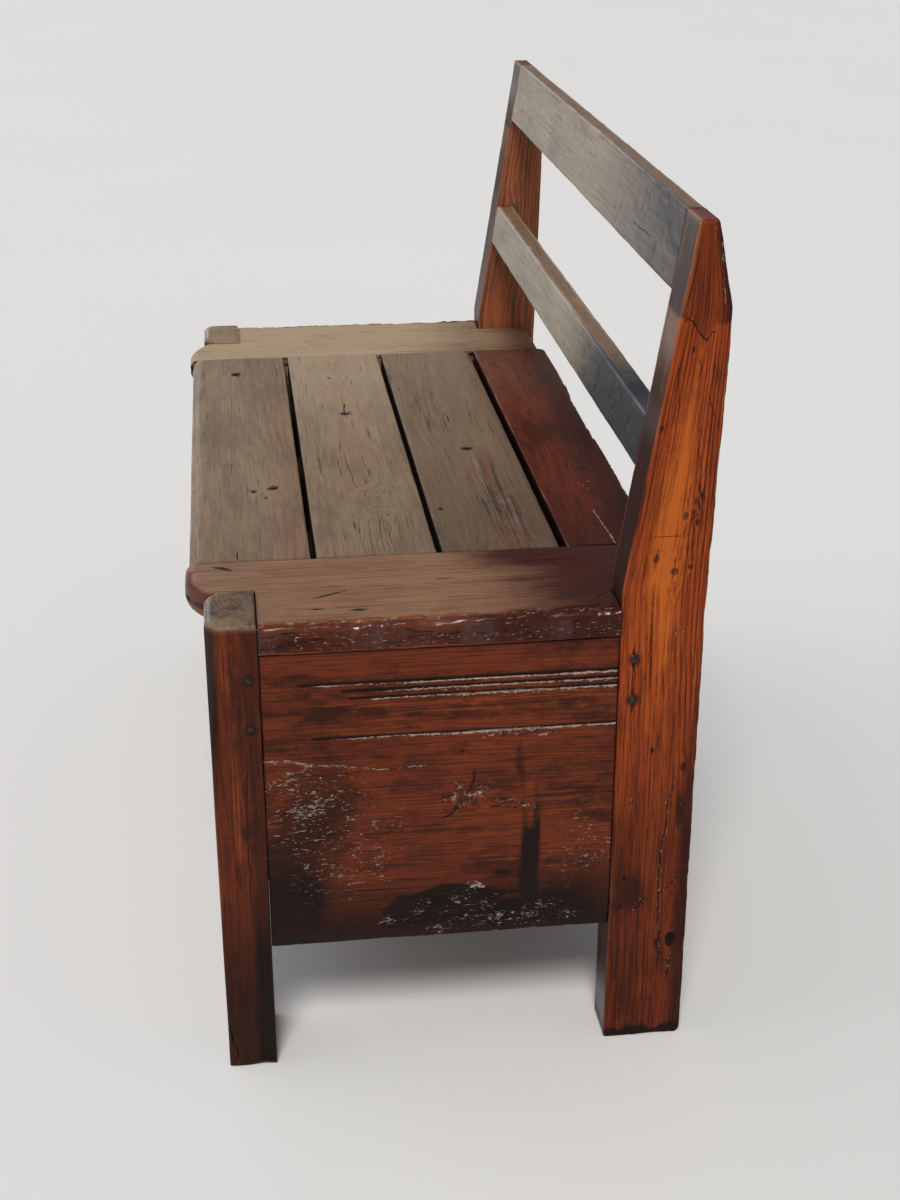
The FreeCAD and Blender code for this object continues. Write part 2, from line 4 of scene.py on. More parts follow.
import bpy
import numpy as np
from bpy.props import FloatProperty, FloatVectorProperty, PointerProperty
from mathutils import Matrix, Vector


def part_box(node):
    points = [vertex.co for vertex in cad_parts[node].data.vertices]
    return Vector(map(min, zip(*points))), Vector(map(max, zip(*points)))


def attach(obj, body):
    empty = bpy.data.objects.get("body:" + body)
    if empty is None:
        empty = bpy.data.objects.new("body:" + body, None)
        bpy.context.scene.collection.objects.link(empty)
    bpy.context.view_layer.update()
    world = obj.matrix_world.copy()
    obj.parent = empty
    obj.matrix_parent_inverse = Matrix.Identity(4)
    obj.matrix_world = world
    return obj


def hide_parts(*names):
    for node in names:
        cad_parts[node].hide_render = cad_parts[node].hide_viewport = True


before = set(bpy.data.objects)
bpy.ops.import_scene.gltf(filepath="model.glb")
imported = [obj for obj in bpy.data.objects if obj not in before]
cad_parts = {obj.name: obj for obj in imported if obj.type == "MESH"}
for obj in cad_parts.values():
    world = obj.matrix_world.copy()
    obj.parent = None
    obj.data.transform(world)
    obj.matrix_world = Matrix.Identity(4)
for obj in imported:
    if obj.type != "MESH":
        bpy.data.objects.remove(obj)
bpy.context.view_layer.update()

bl_info = {
    "name": "Pine box settle",
    "version": (1, 0, 0),
    "blender": (4, 5, 0),
    "location": "3D View > Sidebar > Settle",
    "description": "Builds an old waxed pine box settle, board by board, and a studio round it",
    "category": "Add Mesh",
}

# Sizes are in millimetres unless a property says otherwise. +X is the bench's right end,
# -Y its front and +Z up.
MM = 0.001
SIDES = (("right", 1.0), ("left", -1.0))

# A board's surface: how far close lines lie from its edges, the least distance between two
# lines, and the most points that its grid may have
EDGE_STEPS = np.array([0.25, 0.8, 1.6, 2.6, 4.0, 6.0])
TIGHT = 0.2
MOST_POINTS = 33000

# What a point's knot field says where no knot is near, in knot radii
FAR_FROM_KNOT = 3.0

# The rear posts' outline: front and back at heights from the foot to the top
RAKE_HEIGHTS = (0.0, 467.0, 780.0)
RAKE_FRONTS = (145.5, 145.5, 195.0)
BACK_HEIGHTS = (0.0, 440.0, 708.0, 780.0)
BACK_EDGES = (219.5, 218.5, 225.5, 210.0)

# The mouldings scratched across the end panels and the front board: height, distance from
# the leg at which each starts on an end panel, and depth
MOULDINGS = ((391.8, 24.0, 2.0), (384.8, 60.0, 1.6), (377.6, 66.0, 2.2), (340.0, 33.0, 2.1))

# The pegs' heights: those of the end panels in the legs and the posts, those of the front and back
# boards, and those of the rails
LEG_PEG_HEIGHTS = (401.0, 354.0)
POST_PEG_HEIGHTS = (401.0, 362.0)
BOARD_PEG_HEIGHTS = (401.0, 160.0)
RAIL_PEG_HEIGHTS = (738.0, 585.0)

# The end panels' pegs: their distance behind a leg's front, and their y in a post
LEG_PEG_BACK = 35.0
POST_PEG_Y = 158.0

# The radius and length of the pegs in the box and in the rails, and how far apart in one log the
# pegs of a node are cut, so that no two have the same grain
BOX_PEG = (4.5, 35.0)
RAIL_PEG = (3.0, 22.0)
PEGS_APART = 40.0

# The rounded nose along the seat's front: its radius, and how far the close lines over it reach
# and lie apart
NOSE_RADIUS = 10.5
NOSE_REACH, NOSE_GAP = 13.0, 1.2

# How far towards the lid's right end the splits of its planks run
SPLIT_END = 318.0

# Chips along the right panel's foot: y and height
FOOT_CHIPS = ((-61.5, 148.0), (-14.0, 137.0), (39.6, 144.0), (73.9, 145.0), (109.4, 142.0))


def srgb(red, green, blue):
    """A colour written as 0 to 255 per channel, as the linear values that Blender keeps."""
    parts = np.array([red, green, blue]) / 255.0
    linear = np.where(parts <= 0.04045, parts / 12.92, ((parts + 0.055) / 1.055) ** 2.4)
    return tuple(float(value) for value in linear)


# Each finish: the spring and summer wood of a growth ring, the patina over it, the colour where
# it is rubbed, the ring spacing, the roughness, how strongly its rings and patina show, the
# height of its fine grain, how much it mirrors, and how much its varnish has crazed
FINISH_KEYS = (
    "spring", "summer", "patina", "rubbed", "rings", "roughness",
    "contrast", "age", "relief", "mirror", "crazed",
)
FINISH_ROWS = {
    "frame_pine": (srgb(112, 49, 26), srgb(74, 32, 18), srgb(28, 15, 11), srgb(150, 72, 32),
                   3.8, 0.3, 0.42, 0.8, 1.0, 0.12, 0.12),
    "post_pine": (srgb(164, 70, 25), srgb(104, 37, 15), srgb(50, 19, 11), srgb(190, 98, 34),
                  4.6, 0.3, 0.9, 0.4, 0.9, 0.12, 0.2),
    "end_board_pine": (srgb(148, 112, 84), srgb(106, 72, 50), srgb(60, 19, 8), srgb(140, 70, 36),
                       3.0, 0.34, 0.5, 0.3, 0.9, 0.14, 0.05),
    "seat_pine": (srgb(136, 113, 87), srgb(106, 84, 62), srgb(68, 52, 40), srgb(164, 136, 106),
                  4.6, 0.38, 0.34, 0.4, 1.0, 0.2, 0.0),
    "rear_board_pine": (srgb(98, 38, 18), srgb(60, 22, 10), srgb(34, 14, 8), srgb(134, 74, 46),
                        3.6, 0.36, 0.4, 0.6, 0.8, 0.07, 0.0),
    # The rails' pale grey wood and blue-grey patina: partly weathered wood, partly painted sheen and
    # painted reflection of the cool window light
    "rail_pine": (srgb(168, 154, 134), srgb(128, 113, 96), srgb(33, 36, 45), srgb(132, 98, 68),
                  4.0, 0.36, 0.3, 0.35, 0.9, 0.3, 0.0),
    "inner_pine": (srgb(112, 84, 58), srgb(84, 58, 38), srgb(54, 40, 30), srgb(128, 98, 70),
                   4.4, 0.7, 0.6, 0.5, 1.0, 0.3, 0.0),
    "peg_wood": (srgb(46, 25, 16), srgb(32, 18, 12), srgb(20, 12, 9), srgb(70, 40, 26),
                 1.6, 0.3, 0.5, 0.5, 1.0, 0.12, 0.0),
}
FINISHES = {slot: dict(zip(FINISH_KEYS, row)) for slot, row in FINISH_ROWS.items()}

# Colours that the finishes share: dirt in hollows, which also paints shade in gaps and grooves,
# the heart of a knot, unwaxed wood and its dark rings, which also paint sheen, wood bleached by
# use and painted sheen, pale flaked wax and painted glints, and the tint of reddened wood
GRIME_AND_SHADE = srgb(20, 13, 10)
KNOT_HEART = srgb(44, 21, 12)
BARE_AND_SHEEN_SPRING = srgb(148, 126, 100)
BARE_AND_SHEEN_SUMMER = srgb(116, 94, 70)
BLEACHED_AND_SHEEN = srgb(196, 174, 146)
FLAKED_AND_GLINT = srgb(160, 144, 127)
WARMED = srgb(255, 196, 172)

# A finish's properties: key, label and description, and the range of those that are numbers
FINISH_COLOURS = (
    ("spring", "Spring wood", "Colour of the soft part of each growth ring"),
    ("summer", "Summer wood", "Colour of the hard, dark part of each growth ring"),
    ("patina", "Patina", "Colour of the old wax and dirt in patches"),
    ("rubbed", "Rubbed", "Colour where hands and feet have rubbed through"),
)
FINISH_SHARES = (
    ("roughness", "Roughness", "How dull the wax is", 0.05, 1.0),
    ("contrast", "Ring contrast", "How strongly the growth rings show", 0.0, 1.0),
    ("age", "Patina amount", "How much of the wood the patina covers", 0.0, 1.0),
    ("relief", "Relief", "Height of the fine grain, as a share of the usual", 0.0, 3.0),
    ("mirror", "Mirror", "How strongly the wax mirrors the room", 0.0, 1.0),
    ("crazed", "Crazing", "How much of the varnish has crazed", 0.0, 1.0),
)


def finish_group(slot, values):
    """A property group for one wood finish, with its defaults."""
    fields = {
        key: FloatVectorProperty(
            name=label, description=words, default=values[key], size=3, min=0.0, max=1.0, subtype="COLOR",
        )
        for key, label, words in FINISH_COLOURS
    }
    fields["rings"] = FloatProperty(
        name="Ring spacing", description="Distance between growth rings",
        default=values["rings"] * MM, min=0.0005, unit="LENGTH",
    )
    for key, label, words, least, most in FINISH_SHARES:
        fields[key] = FloatProperty(
            name=label, description=words, default=values[key], min=least, max=most, subtype="FACTOR"
        )
    name = "Settle" + "".join(part.capitalize() for part in slot.split("_"))
    made = type(name, (bpy.types.PropertyGroup,), {"__annotations__": fields})
    made.__doc__ = f"The {slot.replace('_', ' ')} finish."
    return made


FINISH_GROUPS = {slot: finish_group(slot, values) for slot, values in FINISHES.items()}


class SettleFinishes(bpy.types.PropertyGroup):
    """The wood finishes, one for each material slot."""

    __annotations__ = {
        slot: PointerProperty(
            type=group, name=slot.replace("_", " ").capitalize(),
            description="Colours and sheen of this finish",
        )
        for slot, group in FINISH_GROUPS.items()
    }


class SettleSizes(bpy.types.PropertyGroup):
    """Sizes of the boards' surfaces."""

    along: FloatProperty(
        name="Spacing along the grain",
        description="Usual distance between surface points along a board",
        default=0.003, min=0.001, unit="LENGTH",
    )
    across: FloatProperty(
        name="Spacing across the grain",
        description="Usual distance between surface points across a board",
        default=0.0022, min=0.001, unit="LENGTH",
    )
    hidden: FloatProperty(
        name="Spacing inside",
        description="Usual distance between surface points on boards inside the box",
        default=0.006, min=0.002, unit="LENGTH",
    )
    hollow: FloatProperty(
        name="Planing waves", description="Depth of the waves that a hand plane and wear leave",
        default=0.0005, min=0.0, unit="LENGTH",
    )
    arris: FloatProperty(
        name="Eased arrises", description="Radius of an ordinary long edge",
        default=0.0012, min=0.0003, unit="LENGTH",
    )
    peg_depth: FloatProperty(
        name="Peg depth", description="How far the pegs' ends lie under the surface",
        default=0.0007, min=0.0, unit="LENGTH",
    )


class SettleStudio(bpy.types.PropertyGroup):
    """The studio: camera, lamps and floor."""

    camera_place: FloatVectorProperty(
        name="Camera", description="Where the camera stands",
        default=(1.8151, -0.1718, 1.0807), size=3, subtype="TRANSLATION", unit="LENGTH",
    )
    camera_turn: FloatVectorProperty(
        name="Camera turn", description="The camera's rotation",
        default=tuple(math.radians(angle) for angle in (65.712, -0.0447, 82.872)), size=3, subtype="EULER",
    )
    lens: FloatProperty(name="Lens", description="Focal length in millimetres", default=53.463, min=10.0)
    overhead: FloatProperty(
        name="Overhead", description="Strength of the main light, above the bench's right end",
        default=2.3, min=0.0,
    )
    window: FloatProperty(
        name="Window", description="Strength of the cool light from beyond the left end",
        default=0.22, min=0.0,
    )
    front: FloatProperty(
        name="Front", description="Strength of the wide light on the bench's front",
        default=0.75, min=0.0,
    )
    sky: FloatProperty(name="Room", description="Strength of the even light", default=0.28, min=0.0)
    floor: FloatVectorProperty(
        name="Floor", description="Colour of the floor",
        default=(0.78, 0.775, 0.765), size=3, min=0.0, max=1.0, subtype="COLOR",
    )


def box_mm(node):
    """The lowest and highest corner of a frame node, in millimetres."""
    low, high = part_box(node)
    return np.array(low) / MM, np.array(high) / MM


def value_noise(seed, *places):
    """Smooth noise from -1 to 1. Each corner of a unit lattice has a hashed value, and a place
    between corners blends them by the curve 3t^2 - 2t^3 along each axis."""
    places = np.broadcast_arrays(*places)
    cells = [np.floor(place).astype(np.int64) for place in places]
    eased = [(place - cell) ** 2 * (3 - 2 * (place - cell)) for place, cell in zip(places, cells)]
    total = np.zeros(cells[0].shape)
    for corner in itertools.product((0, 1), repeat=len(places)):
        key = np.full(cells[0].shape, seed * 7919 + 17, np.int64)
        weight = 1.0
        for step, cell, ease in zip(corner, cells, eased):
            key = ((key ^ (cell + step)) * 0x9E3779B1) & 0xFFFFFFFF
            key = key ^ (key >> 15)
            weight = weight * (ease if step else 1 - ease)
        key = (key * 0x85EBCA6B) & 0xFFFFFFFF
        key = key ^ (key >> 13)
        total = total + weight * (key / 2.0**31 - 1.0)
    return total


def fractal(seed, octaves, *places):
    """Layers of noise, each twice as fine and half as strong as the one before."""
    return sum(
        value_noise(seed + n, *(place * 2.0**n for place in places)) * 0.5**n for n in range(octaves)
    )


def ramp(value, low, high):
    """0 below low, 1 above high, and the curve 3t^2 - 2t^3 between them."""
    t = np.clip((value - low) / (high - low), 0.0, 1.0)
    return t * t * (3 - 2 * t)


def hump(distance):
    """A bell: 1 in the middle and near nothing at a distance of 2."""
    return np.exp(-(distance**2))


def rounded(distance, radius):
    """How far a quarter-round arris lies below the flat, at a distance in from the edge."""
    t = np.clip(1.0 - distance / radius, 0.0, 1.0)
    return radius * (1.0 - np.sqrt(1.0 - t * t))


def path_distance(u, v, path):
    """The distance to a line of straight runs, and the share of its length at the nearest place."""
    path = np.array(path, float)
    runs = path[1:] - path[:-1]
    lengths = np.hypot(runs[:, 0], runs[:, 1])
    starts = np.concatenate([[0.0], np.cumsum(lengths)])
    best = np.full(u.shape, np.inf)
    share = np.zeros(u.shape)
    for start, run, length, before in zip(path, runs, lengths, starts):
        t = np.clip(((u - start[0]) * run[0] + (v - start[1]) * run[1]) / length**2, 0.0, 1.0)
        away = np.hypot(u - start[0] - t * run[0], v - start[1] - t * run[1])
        share = np.where(away < best, (before + t * length) / starts[-1], share)
        best = np.minimum(best, away)
    return best, share


def grid_lines(fixed, step, dense, coarser=1.0):
    """Line positions: the outline's own corners, close lines beside them, and in between lines as
    close as the finest (low, high, spacing) in dense that covers a place, or step elsewhere.
    Coarser widens all those spacings."""
    fixed = np.unique(fixed)
    low, high = fixed[0], fixed[-1]
    beside = (fixed[:, None] + np.concatenate([-EDGE_STEPS, EDGE_STEPS])).ravel()
    beside = beside[(beside > low) & (beside < high)]
    beside = np.unique(np.round(beside / TIGHT)) * TIGHT
    beside = beside[np.abs(beside[:, None] - fixed).min(1) > TIGHT]
    firm = np.sort(np.concatenate([fixed, beside]))
    places = np.linspace(low, high, int((high - low) / TIGHT) * 2 + 2)
    spacing = np.full(places.shape, float(step))
    for near, far, gap in dense:
        covered = (places >= near) & (places <= far)
        spacing[covered] = np.minimum(spacing[covered], gap)
    passed = np.concatenate([[0.0], np.cumsum(np.diff(places) / spacing[1:])]) / coarser
    counts = np.interp(firm, places, passed)
    lines = [firm]
    for first, last in zip(counts, counts[1:]):
        runs = max(int(round(last - first)), 1)
        lines.append(np.interp(np.linspace(first, last, runs + 1)[1:-1], passed, places))
    return np.sort(np.concatenate(lines))


def sides_of(outline):
    """Each side of an outline as its two corners."""
    return list(zip(outline, outline[1:] + outline[:1]))


def inside(outline, u, v):
    """Whether places lie in a square-cornered outline: a line from one towards +u crosses an odd
    number of sides."""
    crossings = np.zeros(u.shape, int)
    for (ua, va), (ub, vb) in sides_of(outline):
        if va != vb:
            crossings += (ua > u) & ((va > v) != (vb > v))
    return crossings % 2 == 1


class Board:
    """One board as a closed surface in flat coordinates: u runs with the grain, v across it, and w
    through it from the back face at 0 to the show face at the board's thickness. Its show and
    back faces are height fields over one grid of lines, and walls of rows join them."""

    def __init__(self, outline, thick, seed, step, pith=None):
        """step is the grid's usual spacing along u and v, and pith the tree's centre in v and w."""
        self.outline = [(float(u), float(v)) for u, v in outline]
        self.thick = float(thick)
        self.seed = seed
        self.step = step
        self.edges = {}
        self.corners = []
        self.insets = []
        self.dense = ([], [])
        self.work = []
        middle = np.mean([v for _, v in self.outline])
        width = np.ptp([v for _, v in self.outline])
        self.relief, self.checks, self.rows_apart = 0.3, 0.0, step[0]
        self.wall = {}
        chance = np.random.default_rng(seed)
        self.pith = pith or (middle + width * chance.uniform(-0.35, 0.35), -chance.uniform(25.0, 70.0))

    def edge(
        self, side, show=None, back=None, rub=0.35, grime=0.35, ragged=0.35, gloss=0.5, cuts=None, chips=()
    ):
        """How one side's arrises are eased: radii at the show and back faces, how much they are
        rubbed light, dirty or polished, the sizes of chamfers cut at the two faces, and chips."""
        self.edges[side] = dict(
            show=show, back=back, rub=rub, grime=grime, ragged=ragged, gloss=gloss, cuts=cuts, chips=chips
        )

    def joint(self, *sides, radius=0.8, grime=0.8):
        """Sides that meet other wood: small arrises, dirty and unrubbed."""
        for side in sides:
            self.edge(side, show=radius, back=radius, rub=0.0, grime=grime)

    def corner(self, index, radius):
        """Rounds a corner of the outline, seen flat on."""
        self.corners.append((index, radius))
        for axis in (0, 1):
            place = self.outline[index][axis]
            self.dense[axis].append((place - radius, place + radius, max(radius / 7.0, 0.5)))

    def inset(self, side, depth):
        """Moves a side inwards by depth, a function of the place along it."""
        self.insets.append((side, depth))

    def dwell(self, low_u, high_u, low_v, high_v, gap):
        """Asks for close lines over a mark, across its narrower way at least."""
        reach = (high_u - low_u, high_v - low_v)
        if reach[0] <= reach[1] * 3:
            self.dense[0].append((low_u, high_u, gap))
        if reach[1] <= reach[0] * 3:
            self.dense[1].append((low_v, high_v, gap))

    def dwell_round(self, u, v, reach_u, reach_v, gap):
        """Asks for close lines over a mark, by its middle and how far it reaches."""
        self.dwell(u - reach_u, u + reach_u, v - reach_v, v + reach_v, gap)

    def groove(self, v, start, end, depth):
        """A scratched line along the grain: a steep, dirty wall above and a worn, pale slope below,
        rising to a point at its start."""
        steep, slope, wander = 0.9, 2.6, 0.5
        self.dense[1].append((v - slope - wander, v + steep + wander, 0.38))

        def cut():
            line = v + wander * value_noise(self.seed + 31, self.u / 60.0, self.u * 0.0)
            uneven = 1.25 + 0.15 * fractal(self.seed + 32, 2, self.u / 21.0, self.u * 0.0)
            length = ramp(self.u, start, start + 26.0) * (0.55 + 0.45 * ramp(self.u, start, start + 150.0))
            length = length * (1.0 - ramp(self.u, end - 1.0, end))
            below = line - self.v
            fall = np.where(below > 0, below / (slope * length.clip(0.2)), -below / steep)
            near = np.clip(1.0 - fall, 0.0, 1.0)
            self.show += depth * near * length * uneven
            shown = ramp(length, 0.0, 0.3)
            # Painted shade: the steep wall and the bottom of the groove are darkened.
            self.dirt = np.maximum(self.dirt, 1.1 * shown * ramp(-below, 3.0, 1.2) * ramp(below, 0.9, 0.4))
            share = length.clip(0.3)
            lip = ramp(below, 0.6, 1.0) * ramp(below, slope * share, (slope - 1.0) * share)
            # Painted highlight: the lip of the lower slope is pale, and its coat polished.
            self.flake += 1.9 * shown * lip
            self.gloss += 1.2 * shown * lip

        self.work.append(cut)

    def crack(self, path, width=1.2, depth=2.0, wander=1.2, dirty=1.0, pale=0.0):
        """A split along a path: a V in section, thinner towards its ends, perhaps with a pale lip
        beside it."""
        points = np.array(path, float)
        low, high = points.min(0) - width - wander, points.max(0) + width + wander
        self.dwell(low[0], high[0], low[1], high[1], 0.5)

        def cut():
            shift = wander * fractal(self.seed + 41, 2, self.u / 16.0, self.v / 16.0)
            away, share = path_distance(self.u + shift * 0.5, self.v + shift, path)
            half = width * 0.5 * np.sqrt(np.clip(4.0 * share * (1.0 - share), 0.05, 1.0))
            near = np.clip(1.0 - away / half, 0.0, 1.0)
            self.show += depth * near
            self.dirt = np.maximum(self.dirt, dirty * ramp(away, half * 1.6, half * 0.4))
            # Painted highlight: a pale lip beside the split.
            self.flake += pale * hump((away - half * (1.2 if dirty else 0.0)) / (0.7 * width))

        self.work.append(cut)

    def dent(self, u, v, half_u, half_v, depth, dirty=0.0):
        """A bowl pressed or worn into the show face."""
        self.dwell_round(u, v, half_u * 1.6, half_v * 1.6, max(min(half_u, half_v) / 4, 0.5))

        def cut():
            near = hump(np.hypot((self.u - u) / half_u, (self.v - v) / half_v))
            self.show += depth * near
            self.dirt = np.maximum(self.dirt, dirty * near)

        self.work.append(cut)

    def scar(
        self, u, v, half_u, half_v, depth, grain=6.0, stretch=2.7, dirty=0.4, worn=0.0, gloss=0.4, gap=1.2
    ):
        """A torn, broken patch: sharp-edged noise, stretched along the grain, inside an uneven
        outline."""
        self.dwell_round(u, v, half_u * 1.3, half_v * 1.3, gap)

        def cut():
            uneven = 0.45 * fractal(self.seed + 51, 3, self.u / (grain * 2.5), self.v / grain)
            reach = np.hypot((self.u - u) / half_u, (self.v - v) / half_v) + uneven
            mask = 1.0 - ramp(reach, 0.75, 1.0)
            fine = grain * 0.6
            torn = np.abs(fractal(self.seed + 52, 3, self.u / (fine * stretch), self.v / fine))
            self.show += mask * depth * (0.35 + 0.9 * torn)
            self.dirt = np.maximum(self.dirt, dirty * mask * ramp(torn, 0.1, 0.6))
            # Pale torn wax, with painted glints on it.
            self.flake += worn * mask * (1.6 - 1.2 * ramp(torn, 0.1, 0.5))
            self.gloss += gloss * mask

        self.work.append(cut)

    def gouge(self, u, v, radius, depth, dirty=0.4):
        """A star-shaped hole with a broken bottom: the reach of its points changes with the angle."""
        self.dwell_round(u, v, radius * 1.3, radius * 1.1, 0.8)

        def cut():
            angle = np.arctan2(self.v - v, self.u - u)
            points = value_noise(self.seed + 55, np.cos(angle) * 3.1 + 7.0, np.sin(angle) * 3.1 + 7.0)
            reach = radius * (0.62 + 0.5 * points) * (1.0 + 0.35 * np.abs(np.cos(angle)))
            near = np.hypot(self.u - u, self.v - v) / reach.clip(2.0)
            broken = np.abs(fractal(self.seed + 56, 3, self.u / 7.0, self.v / 5.0))
            hole = 1.0 - ramp(near, 0.55, 1.05)
            self.show += hole * depth * (0.5 + 1.1 * broken)
            self.dirt = np.maximum(self.dirt, dirty * hole * ramp(broken, 0.5, 0.1))
            # Pale broken bottom: torn wax with painted glints.
            self.flake += 1.1 * hole * ramp(broken, 0.2, 0.6)
            self.gloss += 0.5 * hole

        self.work.append(cut)

    def knot(self, u, v, radius, stretch=1.4, sunk=0.3, flow=2.6, heart=True):
        """A knot: a field of its distance in knot radii, and growth rings that swell round it. A
        deeply sunk one is dirty. Without a heart it is grown over, and only the rings show it."""
        self.dwell_round(u, v, radius * 2.4, radius * 1.8, max(radius / 5.0, 0.8))

        def grow():
            near = np.hypot((self.u - u) / (radius * stretch), (self.v - v) / radius)
            self.knots = np.minimum(self.knots, near if heart else FAR_FROM_KNOT)
            around = np.hypot((self.u - u) / (radius * flow), (self.v - v) / (radius * 1.5))
            self.lift += radius * 1.1 * hump(around)
            self.show += sunk * (hump(near / 1.1) - 0.5 * hump((near - 1.2) / 0.4)).clip(0.0)
            self.dirt = np.maximum(self.dirt, ramp(sunk, 0.9, 1.6) * ramp(near, 1.0, 0.5))

        self.work.append(grow)

    def patch(self, field, u, v, half_u, half_v, amount, soft=0.5, rough=0.35):
        """Adds to a field such as stain, wear, dirt or pits over an uneven oval."""

        def add():
            uneven = rough * fractal(self.seed + 61, 3, self.u / half_u * 1.4, self.v / half_v * 1.4)
            reach = np.hypot((self.u - u) / half_u, (self.v - v) / half_v) + uneven
            setattr(self, field, getattr(self, field) + amount * (1.0 - ramp(reach, 1.0 - soft, 1.0)))

        self.work.append(add)

    def shade(self, field, amount):
        """Adds to a field by a function of u and v."""

        def add():
            setattr(self, field, getattr(self, field) + amount(self.u, self.v))

        self.work.append(add)

    def along(self, side):
        """Each grid point's place along a side, and its distance from it."""
        (ua, va), (ub, vb) = sides_of(self.outline)[side]
        length = math.hypot(ub - ua, vb - va)
        du, dv = (ub - ua) / length, (vb - va) / length
        place = (self.u - ua) * du + (self.v - va) * dv
        across = -(self.u - ua) * dv + (self.v - va) * du
        beyond = np.maximum(np.maximum(-place, place - length), 0.0)
        return place, np.hypot(across, beyond)

    def ease_edges(self, arris):
        """Rounds each side's arrises by a radius that wavers along it, and marks them rubbed or dirty."""
        for side in range(len(self.outline)):
            if side not in self.edges:
                self.edge(side)
            given = self.edges[side]
            place, away = self.along(side)
            waver = value_noise(self.seed + 71 + side, place / 19.0, place * 0.0)
            waver = waver + 0.6 * value_noise(self.seed + 72 + side, place / 5.0, place * 0.0)
            scale = np.clip(1.0 + given["ragged"] * waver, 0.4, None)
            radius = (given["show"] or arris) * scale
            for middle, half, size in given["chips"]:
                radius = radius + size * hump((place - middle) / half)
            self.show = np.hypot(self.show, rounded(away, radius))
            self.back = np.hypot(self.back, rounded(away, (given["back"] or arris) * scale))
            if given["cuts"]:
                sizes = [size(self.u, self.v) for size in given["cuts"]]
                self.show = np.maximum(self.show, sizes[0] - away)
                self.back = np.maximum(self.back, sizes[1] - away)
                radius = radius + sizes[0]
            patchy = 0.5 + 0.5 * value_noise(self.seed + 81 + side, place / 34.0, away / 9.0)
            self.wear += given["rub"] * patchy * hump(away / (radius * 1.3 + 1.5))
            self.gloss += given["gloss"] * (0.35 + patchy) * hump(away / (radius * 0.9 + 1.0))
            self.dirt = np.maximum(self.dirt, given["grime"] * np.exp(-away / 1.6))

    def build(self, sizes):
        """Lays out the grid, then shapes and marks it."""
        corners = np.array(self.outline)
        for coarser in np.arange(1.0, 6.0, 0.1):
            lines = [
                grid_lines(corners[:, axis], self.step[axis], self.dense[axis], coarser) for axis in (0, 1)
            ]
            if len(lines[0]) * len(lines[1]) <= MOST_POINTS:
                break
        self.u, self.v = np.meshgrid(*lines, indexing="ij")
        middles = [(line[1:] + line[:-1]) / 2 for line in lines]
        self.solid = inside(self.outline, *np.meshgrid(*middles, indexing="ij"))
        hollow = sizes.hollow / MM
        waves = fractal(self.seed, 2, self.u / 85.0, self.v / 38.0)
        ripple = fractal(self.seed + 3, 2, self.u / 24.0, self.v / 9.0)
        self.show = np.zeros(self.u.shape)
        self.back = np.zeros(self.u.shape)
        # Fields of marks. Besides dirt, stains, bare and bleached wood and flaked wax, they hold painted
        # shade in gaps and grooves, painted reflection, painted sheen towards the far end, and painted
        # glints on lips and arrises.
        for field in ("wear", "dirt", "stain", "lift", "pits", "raw", "gloss", "flake", "bleach", "warm"):
            setattr(self, field, np.zeros(self.u.shape))
        self.knots = np.full(self.u.shape, FAR_FROM_KNOT)
        self.ease_edges(sizes.arris / MM)
        self.show += hollow * (0.75 + 0.55 * waves + 0.2 * ripple).clip(0.0)
        self.back += hollow * (0.75 - 0.55 * waves).clip(0.0)
        for mark in self.work:
            mark()
        spots = fractal(self.seed + 110, 2, self.u / 7.0, self.v / 4.0)
        self.show += 0.75 * (ramp(spots, 0.1, 0.55) * self.pits.clip(0.0, 1.0))
        # Pale flakes over pitted wax, partly painted glints on the pits' lips.
        broad = fractal(self.seed + 111, 2, self.u / 26.0, self.v / 20.0)
        self.flake += 0.62 * self.pits * ramp(broad, -1.2, 0.4)
        limit = self.thick * 0.49
        self.show, self.back = np.clip(self.show, 0.0, limit), np.clip(self.back, 0.0, limit)

    def flat_places(self):
        """The grid's u and v after its sides have wavered, been inset, and its corners rounded."""
        low = np.array(self.outline).min(0)
        high = np.array(self.outline).max(0)
        u, v = self.u.copy(), self.v.copy()
        runs = (self.u, self.v, self.u, self.v)
        shifts = []
        for side, run in enumerate(runs):
            shifts.append(0.18 + 0.14 * value_noise(self.seed + 91 + side, run / 55.0, run * 0.0))
        for side, depth in self.insets:
            shifts[side] = shifts[side] + depth(runs[side])
        share_v = (self.v - low[1]) / (high[1] - low[1])
        share_u = (self.u - low[0]) / (high[0] - low[0])
        v += shifts[0] * (1.0 - share_v) - shifts[2] * share_v
        u += shifts[3] * (1.0 - share_u) - shifts[1] * share_u
        middle = (low + high) / 2
        for index, radius in self.corners:
            cu, cv = self.outline[index]
            toward_u, toward_v = np.sign(middle[0] - cu), np.sign(middle[1] - cv)
            a = np.clip(1.0 - (self.u - cu) * toward_u / radius, 0.0, 1.0)
            b = np.clip(1.0 - (self.v - cv) * toward_v / radius, 0.0, 1.0)
            u += toward_u * radius * a * (1.0 - np.sqrt(1.0 - b * b / 2))
            v += toward_v * radius * b * (1.0 - np.sqrt(1.0 - a * a / 2))
        return u, v

    def rim(self):
        """The grid's boundary as directed steps from point to point, with the wood on the left."""
        n, m = self.u.shape
        index = np.arange(n * m).reshape(n, m)
        wood = np.pad(self.solid, 1)
        steps = []
        i, j = np.nonzero(wood[1:, 1:-1] & ~wood[:-1, 1:-1])
        steps.append((index[i, j + 1], index[i, j]))
        i, j = np.nonzero(wood[:-1, 1:-1] & ~wood[1:, 1:-1])
        steps.append((index[i, j], index[i, j + 1]))
        i, j = np.nonzero(wood[1:-1, 1:] & ~wood[1:-1, :-1])
        steps.append((index[i, j], index[i + 1, j]))
        i, j = np.nonzero(wood[1:-1, :-1] & ~wood[1:-1, 1:])
        steps.append((index[i + 1, j], index[i, j]))
        return np.concatenate([a for a, _ in steps]), np.concatenate([b for _, b in steps])

